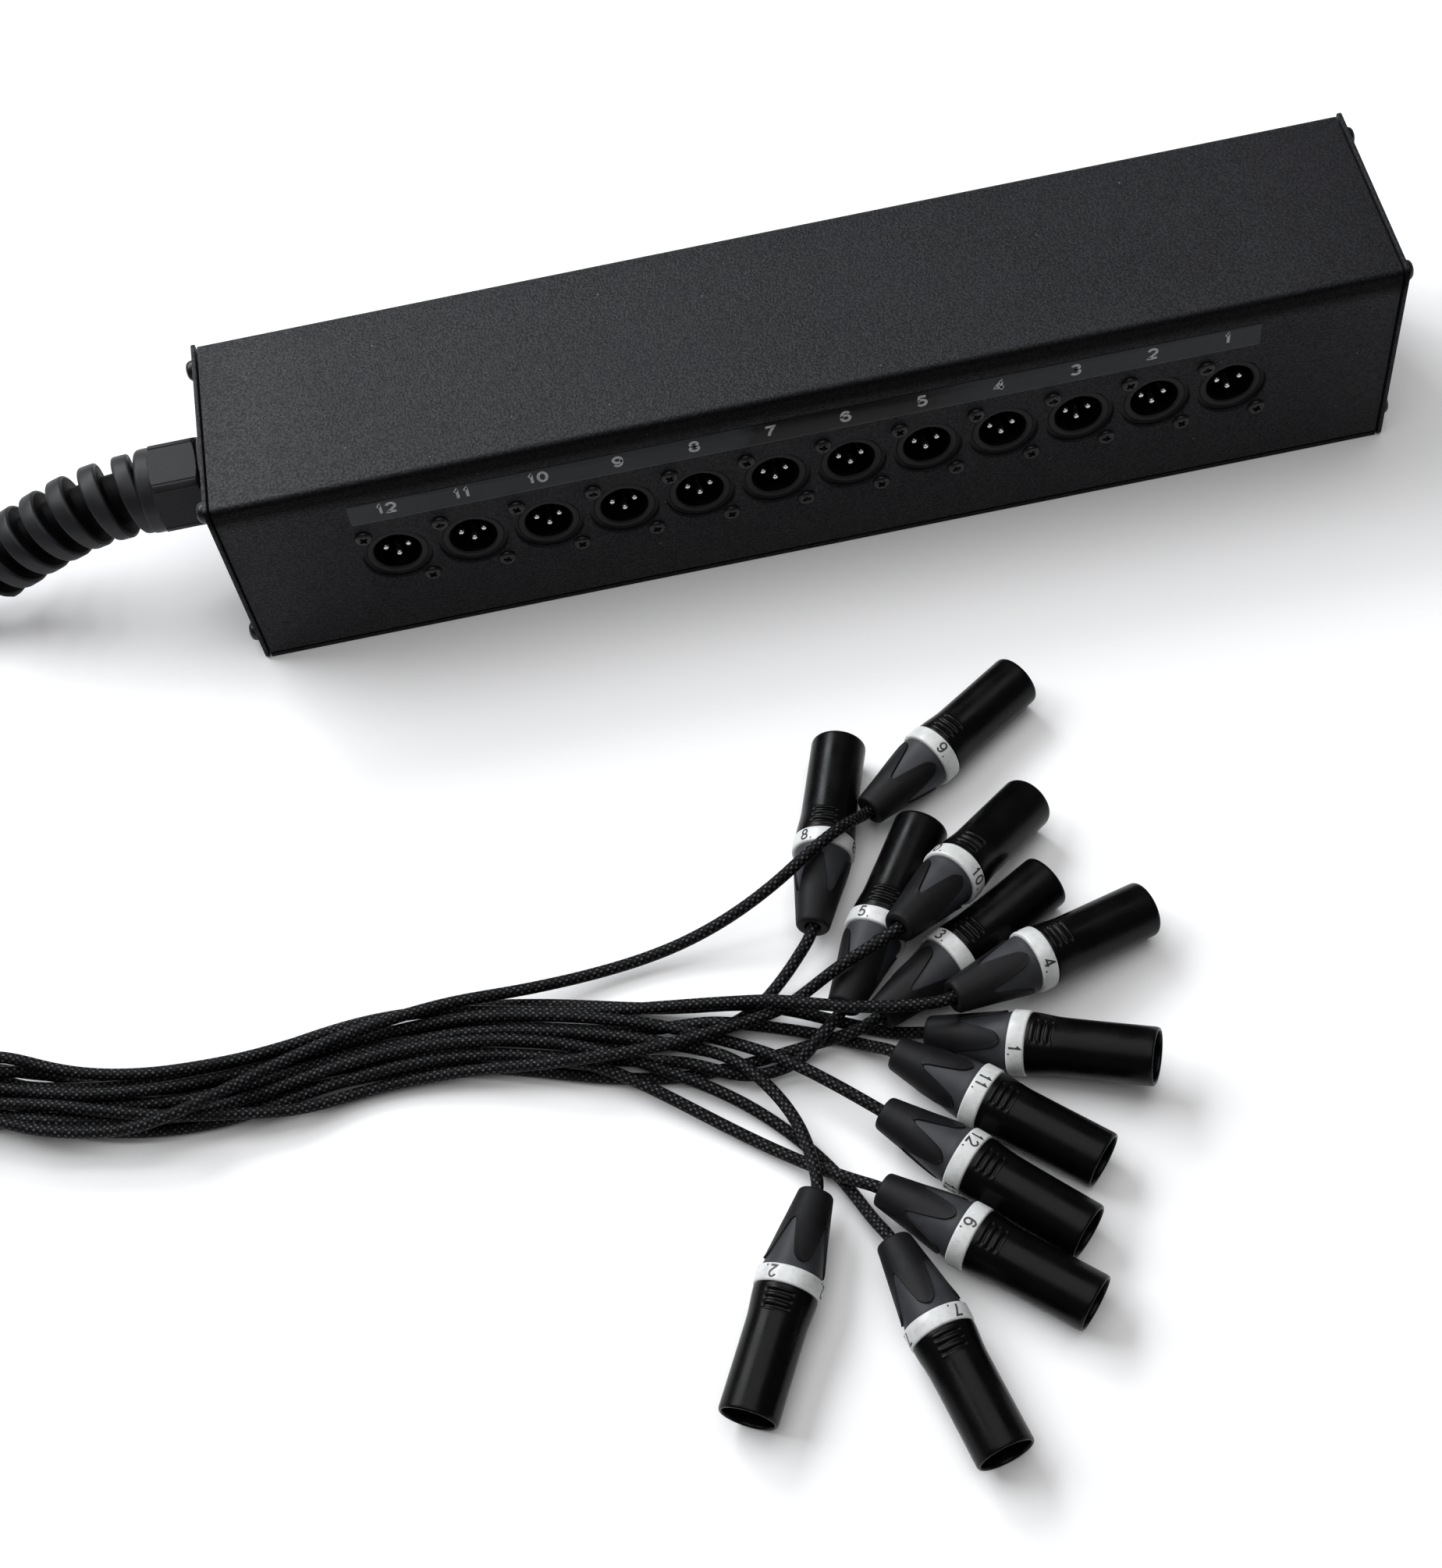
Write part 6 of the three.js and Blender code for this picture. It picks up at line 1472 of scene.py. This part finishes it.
def make_gland():
    left = axis_to((-1, 0, 0), (0, 8.0, 45.0))
    # body: hexagon against the plate, threaded spigot hidden in the nut, shank with thread through the plate
    bag = Bag()
    bag.add(*turn(hex_prism(203.3, 208.4, 17.0, 1.0, bore=9.0, phase=-0.297), left))
    spig = [(208.2, 9.0), (208.2, 12.1), (215.4, 12.1), (215.6, 11.9), (215.6, 9.0)]
    bag.add(*turn(lathe(spig, 48, loop=True), left))
    thread = [(188.0, 9.0), (188.0, 11.5)]
    s = 188.6
    while s < 202.6:
        thread += [(s, 11.5), (s + 0.45, 12.0), (s + 0.75, 12.0), (s + 1.2, 11.5)]
        s += 1.5
    thread += [(203.5, 11.6), (203.5, 9.0)]
    bag.add(*turn(lathe(thread, 48, loop=True), left))
    piece("gland_base", bag.mesh("gland_base"), GLAND, ["gland_body"])
    bag = Bag()
    bag.add(*turn(hex_prism(195.7, 201.2, 16.8, 1.0, bore=12.6, phase=0.3), left))
    piece("gland_lock_ring", bag.mesh("gland_lock_ring"), GLAND, ["gland_locknut"])
    bag = Bag()
    seal = [(215.9, 8.6), (215.9, 11.2), (216.2, 11.6), (218.0, 11.6), (218.6, 11.0), (218.6, 8.6)]
    bag.add(*turn(lathe(seal, 48, loop=True), left))
    piece("gland_seal_ring", bag.mesh("gland_seal_ring"), RUBBER, ["gland_seal"])

    # nut and the bend protector that grows out of it; a fine groove each side of every corner
    bag = Bag()
    segs = 360
    ang = TAU * np.arange(segs) / segs
    rings = []
    corner = 17.3
    lim_c = 16.75
    inr = corner * math.cos(math.pi / 6)
    rows = [(208.8, 12.6), (208.8, inr - 0.3)]
    for t in np.linspace(0, 1, 6):
        rows.append((208.8 + 1.1 * t, inr - 0.15 + (lim_c - inr + 0.15) * math.sin(t * math.pi / 2)))
    for t in np.linspace(1, 0, 6):
        rows.append((225.9 - 1.1 * t, inr - 0.15 + (lim_c - inr + 0.15) * math.sin(t * math.pi / 2)))
    rows += [(226.0, 14.78), (229.4, 14.75), (230.3, 14.6), (231.0, 14.1), (231.3, 13.4), (231.3, 9.4)]
    for s, lim in rows:
        r = hex_ring(s, ang, corner, lim, -0.297)
        if lim > inr + 0.9:
            off = np.abs((ang - 0.297 + math.pi / 6) % (math.pi / 3) - math.pi / 6)
            r = r - 0.42 * np.exp(-((off - math.radians(25.6)) / math.radians(0.9)) ** 2)
        rings.append(np.stack([np.full(segs, s), r * np.cos(ang), r * np.sin(ang)], 1))
    bore = [(231.3, 8.7), (216.0, 9.9), (215.7, 12.4), (209.0, 12.6)]
    for s, r in bore:
        rings.append(np.stack([np.full(segs, s), r * np.cos(ang), r * np.sin(ang)], 1))
    rings.append(rings[0])
    bag.add(*turn(grid(rings, True), left))

    # helical guard: one ridge wound round a tapering sleeve that follows the trunk
    line = spline(np.array(TRUNK_OUT), 0.5)
    line = line[int(np.argmax(line[:, 0] < -221.0)):]
    s = along(line)
    t, n, b = frames(line)
    length = 80.6
    pitch = 11.2
    segs = 72

    def at(d, a, r):
        d = np.clip(d, 0, length)
        pos = np.stack([np.interp(d, s, line[:, i]) for i in range(3)], -1)
        nn = np.stack([np.interp(d, s, n[:, i]) for i in range(3)], -1)
        bb = np.stack([np.interp(d, s, b[:, i]) for i in range(3)], -1)
        return pos + r[..., None] * (np.cos(a)[..., None] * nn + np.sin(a)[..., None] * bb)

    # one turn of the ridge, as (share of the pitch, 0 root .. 1 crest)
    tooth = [(0.0, 0.0), (0.012, 0.10), (0.03, 0.78), (0.045, 0.90), (0.075, 0.975), (0.12, 1.0), (0.28, 1.0), (0.46, 1.0), (0.512, 0.975), (0.548, 0.90), (0.568, 0.78), (0.598, 0.10), (0.612, 0.0), (0.72, 0.0), (0.88, 0.0)]
    turns_n = int(length / pitch) + 2
    a = TAU * np.arange(segs + 1) / segs
    d_rows, c_rows = [], []
    for k in range(-1, turns_n + 1):
        for u, h in tooth:
            d_rows.append((k + u) * pitch - 1.1 - pitch * a / TAU)
            c_rows.append(np.full(segs + 1, h))
    d = np.array(d_rows)
    c = np.array(c_rows)
    root = 8.95 - 0.3 * smooth(d, 0, length)
    crest = 14.4 - 0.85 * np.clip(d / length, 0, 1)
    fade = 1 - smooth(d, length - 4.5, length - 3.2)
    r = root + (crest - root) * c * fade
    # the plain collar at the far end
    r = np.where(d > length - 2.6, np.maximum(r, 10.4 - 0.6 * smooth(d, length - 0.9, length)), r)
    rings = at(d, np.broadcast_to(-a, d.shape), r)
    rows_n = len(rings)
    v = rings.reshape(-1, 3)
    f = []
    cols = segs + 1
    for i in range(rows_n - 1):
        if d[i + 1].max() <= 0 or d[i].min() >= length:
            continue
        for j in range(segs):
            q = (i * cols + j, i * cols + j + 1, (i + 1) * cols + j + 1, (i + 1) * cols + j)
            if max(d[i + 1, j], d[i + 1, j + 1]) <= 0 or min(d[i, j], d[i, j + 1]) >= length:
                continue
            f.append(q)
    bag.add(v, f)
    # rolled end and bore
    lip = [(length - 0.3, 9.9), (length, 9.6), (length + 0.1, 9.2), (length, 8.8), (length - 0.6, 8.45), (length - 3.0, 8.25)]
    aa = TAU * np.arange(segs) / segs
    rr = []
    for dd, rad in lip:
        pos = np.array([np.interp(dd, s, line[:, i]) for i in range(3)])
        nn = np.array([np.interp(dd, s, n[:, i]) for i in range(3)])
        bb = np.array([np.interp(dd, s, b[:, i]) for i in range(3)])
        rr.append(pos + rad * (np.cos(aa)[:, None] * nn + np.sin(aa)[:, None] * bb))
    bag.add(*grid(rr, True))
    me = bag.mesh("gland_nut_and_guard", weld=0.002, sharp=36)
    # the bottoms of the spiral's gaps get a near-black, dull material: painted shade in the grooves
    me.materials.append(RUBBER)
    me.materials.append(GAP_SHADE)
    at_mm = np.array([poly.center[:] for poly in me.polygons]) / MM
    near = line[::4]
    reach = np.full(len(at_mm), 1e9)
    for q in near:
        reach = np.minimum(reach, np.linalg.norm(at_mm - q, axis=1))
    for poly, p, r in zip(me.polygons, at_mm, reach):
        if p[0] < -231.4 and r < 12.4:
            poly.material_index = 1
    return piece("gland_nut_and_guard", me, None, ["gland_nut_and_bend_protector"])


make_gland()

# ---------------------------------------------------------------- CAD nodes that stay


def dress(node, material, bevel=None):
    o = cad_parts[node]
    o.data.materials.clear()
    o.data.materials.append(material)
    if bevel:
        w = o.modifiers.new("weld", "WELD")
        w.merge_threshold = 1e-6
        m = o.modifiers.new("bevel", "BEVEL")
        m.width, m.segments, m.limit_method, m.angle_limit = bevel * MM, 2, "ANGLE", math.radians(50)


dress("bottom_cover", COVER)
dress("wire_loom", LOOM)
for name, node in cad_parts.items():
    if not node.hide_render and name not in ("bottom_cover", "wire_loom"):
        dress(name, POWDER)

# ---------------------------------------------------------------- floor, lights


def make_stage():
    m = Mat("floor_paper", (0.86, 0.86, 0.86), 0.9, spec=0.15)
    p = m.coords(scale=1.0)
    n = m.noise(p, 3.0, 3.0, 0.5)
    m.colour(m.mix(m.range(n, 0.35, 0.65, 0.0, 1.0), (0.845, 0.845, 0.85), (0.86, 0.86, 0.865)))
    m.bump(m.noise(p, 900.0, 2.0, 0.5), 0.05, 0.05)
    me = bpy.data.meshes.new("floor")
    s = 6.0
    me.from_pydata([(-s, -s, -0.0002), (s, -s, -0.0002), (s, s, -0.0002), (-s, s, -0.0002)], [], [(0, 1, 2, 3)])
    me.materials.append(m.m)
    floor = bpy.data.objects.new("floor", me)
    bpy.context.scene.collection.objects.link(floor)


make_stage()


def area(name, at, look, size, power, colour=(1, 1, 1), spread=180.0):
    data = bpy.data.lights.new(name, "AREA")
    data.shape = "RECTANGLE"
    data.size, data.size_y = size
    data.energy = power
    data.color = colour
    data.spread = math.radians(spread)
    obj = bpy.data.objects.new(name, data)
    bpy.context.scene.collection.objects.link(obj)
    obj.location = at
    obj.rotation_mode = "QUATERNION"
    obj.rotation_quaternion = (Vector(look) - Vector(at)).to_track_quat("-Z", "Y")


area("key", (-2.2, 1.3, 2.5), (-0.05, -0.10, 0.0), (2.2, 2.0), 94.0, (0.965, 0.985, 1.0))
area("sheen", (-0.62, 1.30, 1.35), (-0.16, 0.0, 0.08), (0.7, 0.6), 19.0, (0.95, 0.975, 1.0))
area("overhead", (0.15, -0.15, 3.0), (0.0, -0.10, 0.0), (3.4, 2.6), 60.0)

world = bpy.data.worlds.new("world")
world.use_nodes = True
world.node_tree.nodes["Background"].inputs["Color"].default_value = (1.0, 1.0, 1.0, 1.0)
world.node_tree.nodes["Background"].inputs["Strength"].default_value = 0.13
bpy.context.scene.world = world
scene = bpy.context.scene
scene.view_settings.view_transform = "Standard"
scene.view_settings.look = "None"
scene.view_settings.exposure = 0.0
scene.view_settings.gamma = 1.0

bpy.context.view_layer.update()
